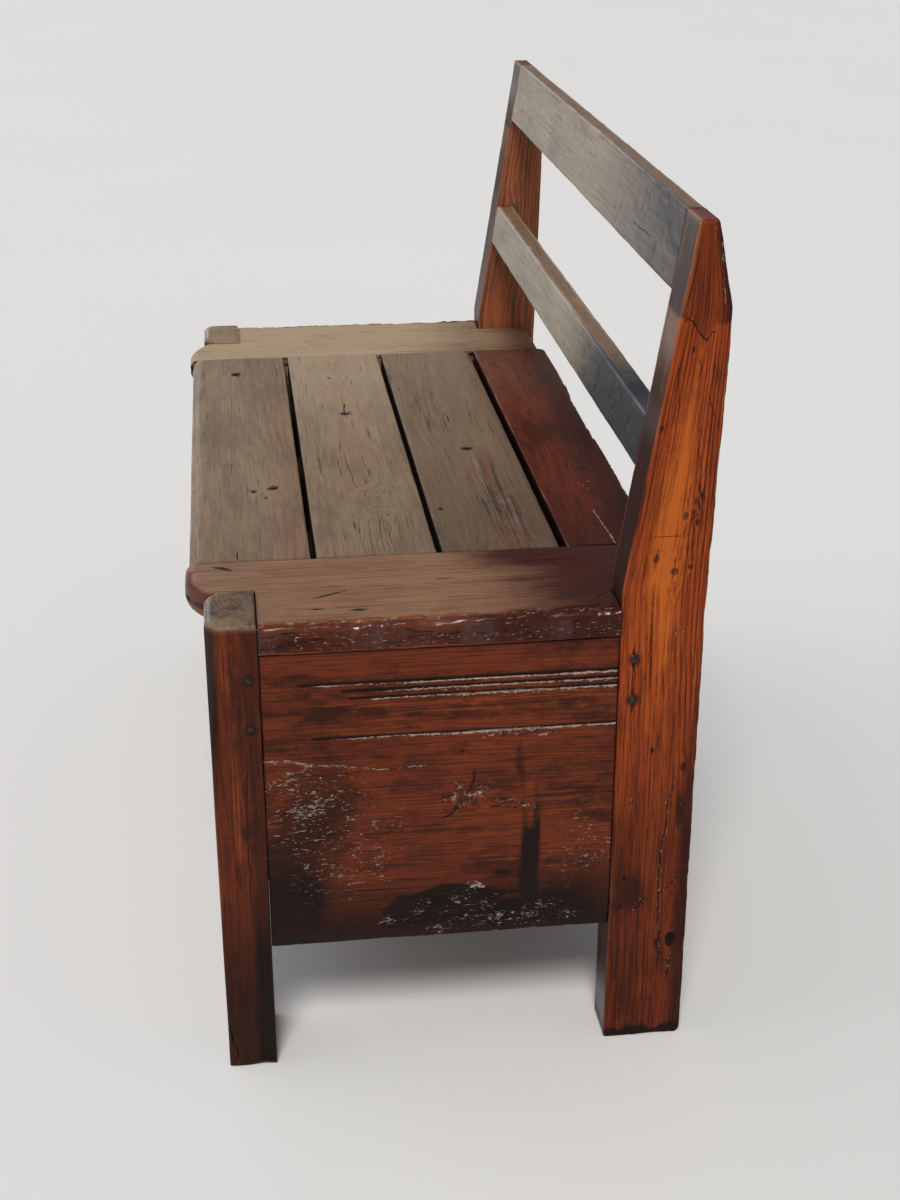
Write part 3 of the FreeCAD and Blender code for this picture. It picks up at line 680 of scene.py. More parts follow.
    def surface(self, raw_back):
        """The board's points in (u, v, w), its quads, and the fields at each point. The walls are
        rows between the two faces, moved in by noise and narrow checks away from the arrises."""
        n, m = self.u.shape
        index = np.arange(n * m).reshape(n, m)
        u, v = (part.ravel() for part in self.flat_places())
        around = ((0, 0), (1, 0), (1, 1), (0, 1))
        cells = [index[di : n - 1 + di, dj : m - 1 + dj][self.solid] for di, dj in around]
        quads = np.stack(cells, 1)
        used = np.unique(quads)
        count = len(used)
        number = np.full(n * m, -1)
        number[used] = np.arange(count)

        starts, ends = self.rim()
        ring = np.unique(starts)
        spot = np.full(n * m, -1)
        spot[ring] = np.arange(len(ring))
        outward = np.zeros((len(ring), 2))
        run = np.stack([v[ends] - v[starts], u[starts] - u[ends]], 1)
        run /= np.linalg.norm(run, axis=1, keepdims=True) + 1e-9
        np.add.at(outward, spot[starts], run)
        np.add.at(outward, spot[ends], run)
        outward /= np.linalg.norm(outward, axis=1, keepdims=True) + 1e-9

        show, back = self.show.ravel(), self.back.ravel()
        rows = max(int(self.thick / self.rows_apart), 2)
        share = (np.arange(1, rows) / rows)[:, None]
        wall_w = (self.thick - show[ring]) * (1 - share) + back[ring] * share
        places = (u[ring] + 0 * share, v[ring] + 0 * share, wall_w)
        rough = 0.5 + 0.5 * fractal(self.seed + 101, 2, *(place / 13.0 for place in places))
        crease = np.abs(value_noise(self.seed + 103, places[0] / 26.0, places[1] / 26.0, places[2] / 2.6))
        check = self.checks * ramp(crease, 0.16, 0.03) * ramp(rough, 0.35, 0.6)
        dip = (self.relief * rough.clip(0.0) + check) * np.sin(np.pi * share) ** 0.6

        def joined(on_show, on_back, on_wall):
            return np.concatenate([on_show, on_back, on_wall.ravel()])

        points = (
            joined(u[used], u[used], places[0] - dip * outward[:, 0]),
            joined(v[used], v[used], places[1] - dip * outward[:, 1]),
            joined(self.thick - show[used], back[used], wall_w),
        )
        ladder = np.vstack([
            number[ring],
            2 * count + np.arange((rows - 1) * len(ring)).reshape(rows - 1, -1),
            number[ring] + count,
        ])
        a, b = spot[starts], spot[ends]
        walls = np.stack([ladder[1:, a], ladder[1:, b], ladder[:-1, b], ladder[:-1, a]], -1).reshape(-1, 4)
        quads = np.concatenate([number[quads], number[quads][:, ::-1] + count, walls])

        def field(name, on_back, on_wall=0.0, low=-1.0):
            flat = getattr(self, name).ravel()
            if name in self.wall:
                on_wall = on_wall + self.wall[name](*places)
            beneath = np.maximum(flat[used] * on_back, low)
            return joined(flat[used], beneath, flat[ring] * (1 + 0 * share) + on_wall)

        fields = {
            "marks": (field("wear", 0.2), field("dirt", 0.5, check), field("stain", 0.6)),
            "figure": (field("knots", 1.0), field("raw", 1.0, low=raw_back), field("gloss", 0.6)),
            "tints": (field("flake", 0.0), field("bleach", 1.0), field("warm", 1.0)),
            "grain": (
                (points[0] + self.seed * 731.0) * MM,
                (points[1] - self.pith[0]) * MM,
                (points[2] - self.pith[1] + field("lift", 1.0)) * MM,
            ),
        }
        return points, quads, fields


def add_piece(name, places, faces, fields, body, nodes, material):
    """Makes a mesh object at the origin from places in millimetres and faces of equal corner
    counts, turns it the right way out by the sign of its volume, and declares what it stands for."""
    places = (places * MM).astype(np.float32)
    volume = 0.0
    for part in faces:
        p = places[part].astype(float)
        for second in range(1, part.shape[1] - 1):
            volume += np.einsum("ij,ij->", p[:, 0], np.cross(p[:, second], p[:, second + 1]))
    if volume < 0:
        faces = [part[:, ::-1] for part in faces]
    corners = np.concatenate([part.ravel() for part in faces]).astype(np.int32)
    counts = np.concatenate([np.full(len(part), part.shape[1]) for part in faces])
    mesh = bpy.data.meshes.new(name)
    mesh.vertices.add(len(places))
    mesh.vertices.foreach_set("co", places.ravel())
    mesh.loops.add(len(corners))
    mesh.loops.foreach_set("vertex_index", corners)
    mesh.polygons.add(len(counts))
    mesh.polygons.foreach_set("loop_start", (np.cumsum(counts) - counts).astype(np.int32))
    mesh.update(calc_edges=True)
    mesh.validate()
    mesh.shade_smooth()
    for key, parts in fields.items():
        attribute = mesh.attributes.new(key, "FLOAT_VECTOR", "POINT")
        attribute.data.foreach_set("vector", np.stack(parts, -1).astype(np.float32).ravel())
    mesh.materials.append(material)
    piece = bpy.data.objects.new(name, mesh)
    bpy.context.scene.collection.objects.link(piece)
    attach(piece, body)
    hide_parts(*nodes)
    return piece


def lay(order, base, towards=1.0, side=1.0):
    """A placing rule. order names the axes of u, v and w; w starts at base and runs towards +1 or
    -1; side -1 gives the left end's piece."""

    def place(u, v, w):
        axes = dict(zip(order, (u, v, base + towards * w)))
        return np.stack([axes["x"] * side, axes["y"], axes["z"]], -1)

    return place


def rectangle(low_u, high_u, low_v, high_v):
    """Corners in the order that Board counts sides in: low v, high u, high v, low u."""
    return [(low_u, low_v), (high_u, low_v), (high_u, high_v), (low_u, high_v)]


def finish_board(board, context, name, place, body, slot, raw_back=0.0):
    """Builds a board, places it and gives it its wood."""
    board.build(context.scene.settle_sizes)
    points, quads, fields = board.surface(raw_back)
    return add_piece(
        name + "_wood", place(*points), [quads], fields, body, [name], wood_material(context, slot)
    )


def steps(context, hidden=False):
    """The grid's spacing along and across a board."""
    sizes = context.scene.settle_sizes
    return (sizes.hidden / MM, sizes.hidden / MM) if hidden else (sizes.along / MM, sizes.across / MM)


class Value:
    """A socket in a material's node tree. Arithmetic on it adds Math nodes."""

    def __init__(self, shader, socket):
        self.shader = shader
        self.socket = socket

    def maths(self, operation, *values):
        """A Math node over these values, in order."""
        return self.shader.add("ShaderNodeMath", {"operation": operation}, dict(enumerate(values)))

    def __add__(self, other):
        return self.maths("ADD", self, other)

    def __sub__(self, other):
        return self.maths("SUBTRACT", self, other)

    def __rsub__(self, other):
        return self.maths("SUBTRACT", other, self)

    def __mul__(self, other):
        return self.maths("MULTIPLY", self, other)

    def __truediv__(self, other):
        return self.maths("DIVIDE", self, other)

    def __pow__(self, other):
        return self.maths("POWER", self, other)

    __radd__ = __add__
    __rmul__ = __mul__


class Shader:
    """A material being made."""

    def __init__(self, name):
        self.material = bpy.data.materials.new(name)
        self.material.use_nodes = True
        self.tree = self.material.node_tree
        self.tree.nodes.clear()

    def add(self, kind, settings=None, sockets=None, output=0):
        """Adds a node with its settings and its sockets' values or links, and returns one output."""
        node = self.tree.nodes.new(kind)
        for key, value in (settings or {}).items():
            setattr(node, key, value)
        for key, value in (sockets or {}).items():
            socket = node.inputs[key]
            if isinstance(value, Value):
                self.tree.links.new(value.socket, socket)
            elif socket.type == "RGBA":
                socket.default_value = (*value[:3], 1.0)
            else:
                socket.default_value = value
        return Value(self, node.outputs[output]) if node.outputs else None

    def attribute(self, name):
        """The vector that a piece's points carry under this name."""
        return self.add("ShaderNodeAttribute", {"attribute_name": name}, output=1)

    def parts(self, vector):
        """A vector's three numbers."""
        split = self.add("ShaderNodeSeparateXYZ", sockets={0: vector})
        return [Value(self, socket) for socket in split.socket.node.outputs]

    def noise(self, vector, scale, detail=2.0, roughness=0.5, distortion=0.0):
        """Noise from 0 to 1, with its features scale times finer than a metre along each axis."""
        scaled = self.add("ShaderNodeVectorMath", {"operation": "MULTIPLY"}, {0: vector, 1: scale})
        sockets = {"Vector": scaled, "Scale": 1.0, "Detail": detail}
        sockets |= {"Roughness": roughness, "Distortion": distortion}
        return self.add("ShaderNodeTexNoise", sockets=sockets)

    def smooth(self, value, low, high):
        """0 below low, 1 above high, smooth between; the other way round where low is above high."""
        settings = {"interpolation_type": "SMOOTHSTEP"}
        return self.add("ShaderNodeMapRange", settings, {0: value, 1: low, 2: high})

    def mix(self, share, first, second):
        """A colour between two, by a share from 0 to 1."""
        return self.add("ShaderNodeMix", {"data_type": "RGBA"}, {0: share, 6: first, 7: second}, output=2)

    def bump(self, height):
        """A normal from a height in millimetres."""
        return self.add("ShaderNodeBump", sockets={"Height": height, "Distance": MM, "Strength": 1.0})

    def surface(self, links, settings):
        """The principled surface, with the sockets that vary linked and the others set."""
        shader = self.add("ShaderNodeBsdfPrincipled", sockets={**settings, **links})
        self.add("ShaderNodeOutputMaterial", sockets={"Surface": shader})
        return self.material


def wood_material(context, slot):
    """Old pine under wax, made once for each slot. Growth rings are the fractional part of the
    distance from the pith over the ring spacing; the points' own fields say where the wood is
    rubbed, dirty, stained, knotted, polished, flaked, bleached, reddened or left raw."""
    made = bpy.data.materials.get("settle_" + slot)
    if made:
        return made
    finish = getattr(context.scene.settle_finishes, slot)
    s = Shader("settle_" + slot)
    grain = s.attribute("grain")
    wear, dirt, stain = s.parts(s.attribute("marks"))
    knot, raw, gloss = s.parts(s.attribute("figure"))
    flake, bleach, warm = s.parts(s.attribute("tints"))
    _, across, deep = s.parts(grain)

    bend = s.noise(grain, (1.9, 5.0, 5.0), detail=2.0) - 0.5
    waver = s.noise(grain, (11.0, 42.0, 42.0), detail=3.0) - 0.5
    rings = ((across * across + deep * deep) ** 0.5 + bend * 0.045 + waver * 0.007) / finish.rings
    phase = rings.maths("FRACT", rings)
    blotch = s.noise(grain, (8.0, 21.0, 21.0), detail=5.0, roughness=0.62)
    cloud = s.noise(grain, (5.0, 27.0, 27.0), detail=3.0)
    mottle = s.noise(grain, (44.0, 100.0, 100.0), detail=4.0, roughness=0.7)
    fibre = s.noise(grain, (13.0, 560.0, 560.0), detail=4.0, roughness=0.7)
    chipped = s.noise(grain, (190.0, 620.0, 620.0), detail=3.0, distortion=0.9)
    streak = s.noise(grain, (3.4, 190.0, 190.0), detail=5.0, roughness=0.7)
    late = s.smooth(phase, 0.25, 0.84) * s.smooth(phase, 1.0, 0.9) * s.smooth(cloud, 0.28, 0.56)
    cleft = s.noise(grain, (14.0, 340.0, 340.0), detail=2.0, distortion=0.4)
    split = s.smooth(cleft, 0.63, 0.69) * s.smooth(blotch, 0.4, 0.55)
    cells = s.add("ShaderNodeVectorMath", {"operation": "MULTIPLY"}, {0: grain, 1: (70.0, 210.0, 210.0)})
    web = s.add(
        "ShaderNodeTexVoronoi",
        {"feature": "DISTANCE_TO_EDGE"},
        {"Vector": cells, "Scale": 1.0, "Randomness": 1.0},
    )
    craze = s.smooth(web, 0.1, 0.02) * s.smooth(cloud + (mottle - 0.5) * 0.5, 0.5, 0.66) * finish.crazed

    tone = s.mix(late * finish.contrast, finish.spring, finish.summer)
    tone = s.mix(s.smooth(streak, 0.48, 0.72) * finish.contrast, tone, finish.summer)
    tone = s.mix(s.smooth(streak, 0.46, 0.28) * finish.contrast * 0.6, tone, finish.rubbed)
    aged = s.smooth(blotch + (mottle - 0.5) * 0.6 + (streak - 0.5) * 0.4, 0.62, 0.28) * finish.age
    tone = s.mix(aged, tone, finish.patina)
    tone = s.mix(s.smooth(fibre, 0.52, 0.34) * finish.contrast, tone, finish.patina)
    tone = s.mix(s.smooth(fibre, 0.56, 0.74) * finish.contrast * 0.7, tone, finish.rubbed)
    rubbed = s.smooth(wear + (mottle - 0.5) * 0.6 + (streak - 0.5) * 1.5 + (fibre - 0.5) * 0.9, 0.15, 0.8)
    tone = s.mix(rubbed * 0.8, tone, finish.rubbed)
    heart = s.smooth(knot + (streak - 0.5) * 0.5, 1.12, 0.8)
    swirl = knot * 5.0 + mottle
    whorl = s.smooth(swirl.maths("FRACT", swirl), 0.4, 0.9)
    tone = s.mix(heart * (0.5 + whorl * 0.5), tone, KNOT_HEART)
    warmth = warm + (streak - 0.5) * 2.0 * warm
    multiply = {"data_type": "RGBA", "blend_type": "MULTIPLY"}
    tone = s.add("ShaderNodeMix", multiply, {0: warmth, 6: tone, 7: WARMED}, output=2)
    # Bare wood, which also paints sheen.
    bare_and_sheen_tone = s.mix(late * 0.7, BARE_AND_SHEEN_SPRING, BARE_AND_SHEEN_SUMMER)
    bare_and_sheen_tone = s.mix(s.smooth(streak, 0.5, 0.7) * 0.6, bare_and_sheen_tone, BARE_AND_SHEEN_SUMMER)
    tone = s.mix(raw * 0.9, tone, bare_and_sheen_tone)
    # Bleached wood, and painted sheen.
    tone = s.mix(bleach + (streak - 0.5) * bleach, tone, BLEACHED_AND_SHEEN)
    # Stains, and painted shade and reflection.
    stain_and_shade_mask = stain + (mottle - 0.5) * 0.5 + (blotch - 0.5) * 0.8 + (streak - 0.5) * 0.4
    tone = s.mix(s.smooth(stain_and_shade_mask, 0.1, 1.0), tone, finish.patina)
    # Dirt, and painted shade in gaps and grooves.
    grime_and_shade_mask = s.smooth(dirt + (mottle - 0.5) * 0.4, 0.1, 0.8) * 0.92
    tone = s.mix(grime_and_shade_mask.maths("MAXIMUM", grime_and_shade_mask, split * 0.6 + craze * 0.9), tone, GRIME_AND_SHADE)
    # Flaked wax, and painted glints.
    flaked_and_glint = s.smooth(chipped + flake * 0.16, 0.66, 0.72) * s.smooth(flake, 0.0, 0.2)
    tone = s.mix(flaked_and_glint * (0.35 + mottle * 0.8), tone, FLAKED_AND_GLINT)

    sheen = finish.roughness + (mottle - 0.5) * 0.3 + (1.0 - fibre) * 0.08 + dirt * 0.2 + raw * 0.25
    peel = s.noise(grain, (110.0, 210.0, 210.0), detail=3.0, roughness=0.55)
    height = (late * 0.05 + fibre * 0.09 + peel * 0.16) * finish.relief + mottle * 0.35
    height = height - split * 0.25 - craze * 0.12 - flaked_and_glint * 0.15
    polish = s.smooth(gloss + (mottle - 0.5) * 0.6, 0.25, 1.0) * 0.7
    links = {
        "Base Color": tone,
        "Roughness": sheen.maths("MINIMUM", sheen, 0.95),
        "Normal": s.bump(height),
        "Coat Weight": polish,
    }
    settings = {"IOR": 1.48, "Specular IOR Level": finish.mirror, "Coat Roughness": 0.16, "Coat IOR": 1.45}
    return s.surface(links, settings)


def iron_material():
    """Hand-made iron, dark and a little rusty."""
    made = bpy.data.materials.get("settle_iron")
    if made:
        return made
    s = Shader("settle_iron")
    place = s.add("ShaderNodeTexCoord", output=3)
    rust = s.smooth(s.noise(place, (240.0, 240.0, 240.0), detail=4.0, roughness=0.65), 0.45, 0.65)
    tone = s.mix(rust, srgb(52, 48, 46), srgb(84, 46, 28))
    pitted = s.noise(place, (900.0, 900.0, 900.0), detail=3.0)
    links = {
        "Base Color": tone,
        "Roughness": 0.42 + rust * 0.35,
        "Metallic": 0.9 - rust * 0.8,
        "Normal": s.bump(pitted * 0.12 + rust * 0.08),
    }
    return s.surface(links, {"IOR": 1.5})


def floor_material(colour):
    """A plain pale floor with the faintest unevenness."""
    s = Shader("studio_floor")
    place = s.add("ShaderNodeTexCoord", output=3)
    cloud = s.noise(place, (0.9, 0.9, 0.9), detail=3.0)
    darker = tuple(channel * 0.97 for channel in colour)
    links = {"Base Color": s.mix(cloud, darker, tuple(colour)), "Roughness": 0.75 + cloud * 0.1}
    return s.surface(links, {"Specular IOR Level": 0.2})


def leg_board(context, seed):
    """A front leg: u is height, v runs back from the front face, w outwards. The outer front
    corner has a stopped chamfer that is widest at the top."""
    low, high = box_mm("front_leg_right")
    outline = rectangle(0.0, high[2], low[1], high[1])
    board = Board(outline, high[0] - low[0], seed, steps(context), (-150.0, 20.0))
    outer = lambda u, v: 1.5 + 11.5 * np.clip((u - 345.0) / (high[2] - 345.0), 0.0, 1.0)
    inner = lambda u, v: 17.0 * ramp(u, high[2] - 30.0, high[2])
    board.edge(0, show=1.6, back=2.0, rub=0.4, grime=0.0, ragged=0.4, cuts=(outer, inner))
    board.edge(1, show=4.0, back=4.0, rub=0.5, grime=0.0)
    board.edge(2, show=1.2, back=1.5, rub=0.2, grime=0.4)
    board.edge(3, show=1.4, back=1.5, rub=0.6, grime=0.6, chips=((12.0, 9.0, 3.0),))
    board.corner(1, 6.0)
    board.corner(2, 4.0)
    return board, low, high


class SETTLE_OT_front_legs(bpy.types.Operator):
    """Make the two front legs"""

    bl_idname = "settle.front_legs"
    bl_label = "Front legs"

    def execute(self, context):
        for name, side in SIDES:
            board, low, high = leg_board(context, 101 if side > 0 else 108)
            front = low[1]
            self.mark(board, front, high[2], side)
            board.crack([(150.0, front + 29.0), (230.0, front + 27.5), (330.0, front + 30.0)], 0.8, 1.0)
            board.crack([(60.0, front + 36.0), (120.0, front + 35.0)], 0.8, 1.0)
            place = lay("zyx", low[0], side=side)
            finish_board(board, context, "front_leg_" + name, place, "frame", "frame_pine")
        return {"FINISHED"}

    def mark(self, board, front, top, side):
        """A rubbed middle, dark sides and foot, grime round the pegs, and a bare grey top."""
        below_top = lambda u: ramp(u, top - 3.0, top - 7.0)
        board.shade("stain", lambda u, v: below_top(u) * (
            0.28 + 0.27 * ramp(v, front + 24, front + 34) + 0.45 * ramp(u, 235, 70)
            + 0.6 * ramp(v, front + 13, front + 3) * ramp(u, 250, 400)))
        board.shade("wear", lambda u, v: 0.5 * hump((v - front - 20) / 6.0) * hump((u - 272) / 70.0))
        board.shade("wear", lambda u, v: 0.25 * hump((v - front - 16) / 5.0) * hump((u - 405) / 40.0))
        for z in LEG_PEG_HEIGHTS:
            board.dent(z, front + LEG_PEG_BACK, 6.0, 6.0, 0.7, dirty=0.8)
        if side > 0:
            board.crack([(4.0, front + 8.5), (30.0, front + 5.0), (58.0, front + 1.0)], 1.6, 2.5,
                        dirty=0.9, pale=0.3)
            board.dent(20.0, front + 3.0, 16.0, 4.0, 1.6)
        board.shade("gloss", lambda u, v: 1.2 * hump((u - top + 5.0) / 1.2))
        board.shade("raw", lambda u, v: ramp(u, top - 4.6, top - 3.2))
        board.shade("stain", lambda u, v: (0.52 if side > 0 else 0.2) * ramp(u, top - 4.5, top - 3.5))


def post_place(side, inner):
    """Where a rear post's board goes: v runs from the raked front to the tapered back."""
    front, back = RAKE_FRONTS[0], BACK_EDGES[0]

    def place(u, v, w):
        share = (v - front) / (back - front)
        near = np.interp(u, RAKE_HEIGHTS, RAKE_FRONTS)
        far = np.interp(u, BACK_HEIGHTS, BACK_EDGES)
        return np.stack([(inner + w) * side, near + (far - near) * share, u], -1)

    return place


def post_v(z, y):
    """A post board's v at a height for a place given by its real y."""
    near, far = np.interp(z, RAKE_HEIGHTS, RAKE_FRONTS), np.interp(z, BACK_HEIGHTS, BACK_EDGES)
    return RAKE_FRONTS[0] + (y - near) / (far - near) * (BACK_EDGES[0] - RAKE_FRONTS[0])


class SETTLE_OT_rear_posts(bpy.types.Operator):
    """Make the two raked rear posts"""

    bl_idname = "settle.rear_posts"
    bl_label = "Rear posts"

    def execute(self, context):
        low, high = box_mm("rear_post_right")
        for name, side in SIDES:
            seed = 211 if side > 0 else 223
            outline = rectangle(0.0, high[2], RAKE_FRONTS[0], BACK_EDGES[0])
            board = Board(outline, high[0] - low[0], seed, steps(context), (RAKE_FRONTS[0] - 60.0, 96.0))
            board.edge(0, show=2.0, back=1.6, rub=0.3, grime=0.1, ragged=0.5,
                       chips=((690.0, 40.0, 1.4), (760.0, 12.0, 1.2)))
            board.edge(1, show=3.0, back=2.5, rub=0.5, grime=0.0, ragged=0.8,
                       chips=((20.0, 10.0, 2.5), (52.0, 10.0, 3.0)))
            board.edge(2, show=2.2, back=2.0, rub=0.3, grime=0.1, ragged=0.8,
                       chips=((40.0, 18.0, 2.5), (88.0, 10.0, 2.0)))
            board.edge(3, show=2.5, back=2.0, rub=0.0, grime=0.8, ragged=0.6)
            board.corner(2, 4.0)
            board.corner(3, 8.0)
            board.corner(1, 3.0)
            forward = lambda v: ramp(v, RAKE_FRONTS[0] + 1.0, RAKE_FRONTS[0])
            # The raked front face is grey above the seat, partly weathered wood and partly painted sheen,
            # and darker lower down; the back face is darker too.
            board.wall["raw"] = lambda u, v, w: 0.8 * forward(v) * ramp(u, 430.0, 470.0)
            board.wall["stain"] = lambda u, v, w: (
                forward(v) * (0.3 + 0.65 * ramp(u, 740.0, 560.0)) + 0.5 * ramp(v, 218.0, 219.0))
            self.mark(board, side)
            place = post_place(side, low[0])
            finish_board(board, context, "rear_post_" + name, place, "frame", "post_pine", raw_back=0.3)
        return {"FINISHED"}

    def mark(self, board, side):
        """Wear, stains, knots and splits, most of them on the right post. Marks are written by
        their height and their real distance back."""
        ragged = lambda v: 4.0 * value_noise(board.seed + 7, v / 7.0, v * 0.0)
        board.shade("wear", lambda u, v: 0.7 * hump((v - 179.0) / 19.0) * hump((u - 545.0) / 120.0))
        board.shade("wear", lambda u, v: 0.25 * hump((v - 178.0) / 20.0) * hump((u - 420.0) / 90.0))
        board.shade("wear", lambda u, v: 0.8 * hump((v - 148.5) / 4.0) * ramp(u, 690.0, 715.0))
        board.shade("stain", lambda u, v: 0.35 * ramp(v, 200.0, 219.0) + 0.5 * ramp(u, 420.0, 180.0)
                    + 0.15 * ramp(u, 440.0, 330.0))
        board.shade("stain", lambda u, v: 0.4 * ramp(v, 162.0, 147.0) * hump((u - 560.0) / 130.0))
        top = lambda v: 700.0 - 14.0 * hump((v - 186.0) / 14.0) + ragged(v)
        board.shade("stain", lambda u, v: 0.5 * ramp(u, top(v) - 3.0, top(v) + 3.0))
        board.shade("dirt", lambda u, v: 0.9 * ramp(u + ragged(v), 13.0, 8.0))
        for z in POST_PEG_HEIGHTS:
            board.dent(z, POST_PEG_Y, 6.5, 6.5, 0.8, dirty=0.9)
            board.crack([(z - 11.0, 158.3), (z + 11.0, 157.8)], 2.2, 1.2)
        if side < 0:
            board.knot(600.0, 176.0, 9.0)
            board.crack([(90.0, 200.0), (210.0, 205.0)], 1.2, 2.0)
            return

        def line(*places, **how):
            board.crack([(z, post_v(z, y)) for y, z in places], **how)

        for y, z, radius, stretch, sunk in (
            (172.8, 494.4, 3.0, 1.3, 1.2), (189.4, 482.5, 4.0, 0.9, 0.6), (203.0, 486.0, 3.0, 0.8, 0.5),
            (196.0, 532.7, 3.0, 1.3, 0.5), (205.3, 109.5, 5.5, 1.3, 1.8), (207.9, 291.7, 3.4, 1.4, 1.2),
        ):
            board.knot(z, post_v(z, y), radius, stretch=stretch, sunk=sunk, flow=5.0)
        board.patch("dirt", 109.0, post_v(109.0, 205.0), 9.0, 6.0, 1.0)
        board.patch("dirt", 103.0, post_v(103.0, 193.0), 9.0, 5.0, 0.6)
        line((202.1, 288.1), (196.0, 257.6), (191.8, 206.3), (191.3, 155.6), (194.9, 82.9),
             width=1.3, depth=2.0, pale=0.35)
        line((190.9, 157.8), (202.0, 168.0), (213.8, 185.3), width=1.0, depth=1.2, pale=0.4)
        line((204.5, 88.0), (203.7, 73.1), (203.4, 61.7), width=2.0, depth=2.5, pale=0.5)
        line((162.6, 138.3), (174.4, 148.3), (177.6, 161.1), width=1.6, depth=1.2, dirty=0.7, pale=0.3)
        line((159.4, 515.6), (185.0, 514.6), (209.2, 514.0), width=0.9, depth=0.6, dirty=0.7, wander=0.5)
        line((186.6, 420.4), (200.0, 427.0), (214.0, 433.0), width=0.9, depth=0.6, dirty=0.4, pale=0.3)
        line((186.5, 702.3), (193.0, 698.8), (199.0, 690.0), (204.6, 682.8), (208.0, 690.0), (212.7, 688.3),
             width=1.4, depth=1.0)
        line((197.5, 774.0), (193.8, 745.0), (189.5, 724.0), (184.0, 702.0), width=1.8, depth=1.6, pale=0.3)
        line((209.1, 639.2), (211.0, 628.0), (213.8, 618.6), width=1.2, depth=1.2, wander=2.2)
        line((199.0, 671.0), (201.0, 660.0), (198.0, 650.0), width=1.0, depth=1.0, wander=2.2)
        line((184.0, 668.0), (186.0, 640.0), (183.0, 610.0), width=1.3, depth=1.0, wander=2.6, dirty=0.7)
        line((205.0, 610.0), (203.0, 585.0), (206.0, 560.0), width=1.1, depth=1.0, wander=2.6, dirty=0.8)
        line((210.0, 580.0), (208.0, 560.0), (211.0, 540.0), width=1.2, depth=1.0, wander=2.6, dirty=0.8)
        for y, z in ((158.0, 179.5), (155.6, 147.1), (177.9, 310.1), (194.5, 675.8), (172.0, 610.0)):
            board.dent(z, post_v(z, y), 3.4, 2.2, 1.1, dirty=0.9)
        for y, z in ((207.8, 252.6), (203.3, 189.4), (161.2, 258.0), (207.0, 283.0), (209.0, 232.0)):
            board.scar(z, post_v(z, y), 4.0, 3.0, 0.8, grain=3.0, dirty=0.4, worn=0.3, gap=1.0)
        board.scar(538.0, post_v(538.0, 207.0), 22.0, 6.0, 1.0, grain=3.5, dirty=0.8, gap=1.0)
        for y, z, half_z, half_y in (
            (207.3, 769.0, 9.0, 6.0), (213.8, 752.0, 12.0, 4.0), (216.0, 727.3, 16.0, 3.5),
        ):
            board.scar(z, post_v(z, y), half_z, half_y, 1.3, grain=4.0, dirty=0.2, worn=0.9, gap=1.0)
        board.patch("stain", 690.0, post_v(690.0, 186.0), 22.0, 7.0, 0.3, soft=0.9)
        board.patch("stain", 166.0, 168.0, 46.0, 26.0, 0.35, soft=0.9)
        board.patch("stain", 246.0, 207.0, 26.0, 8.0, 0.4, soft=0.9)


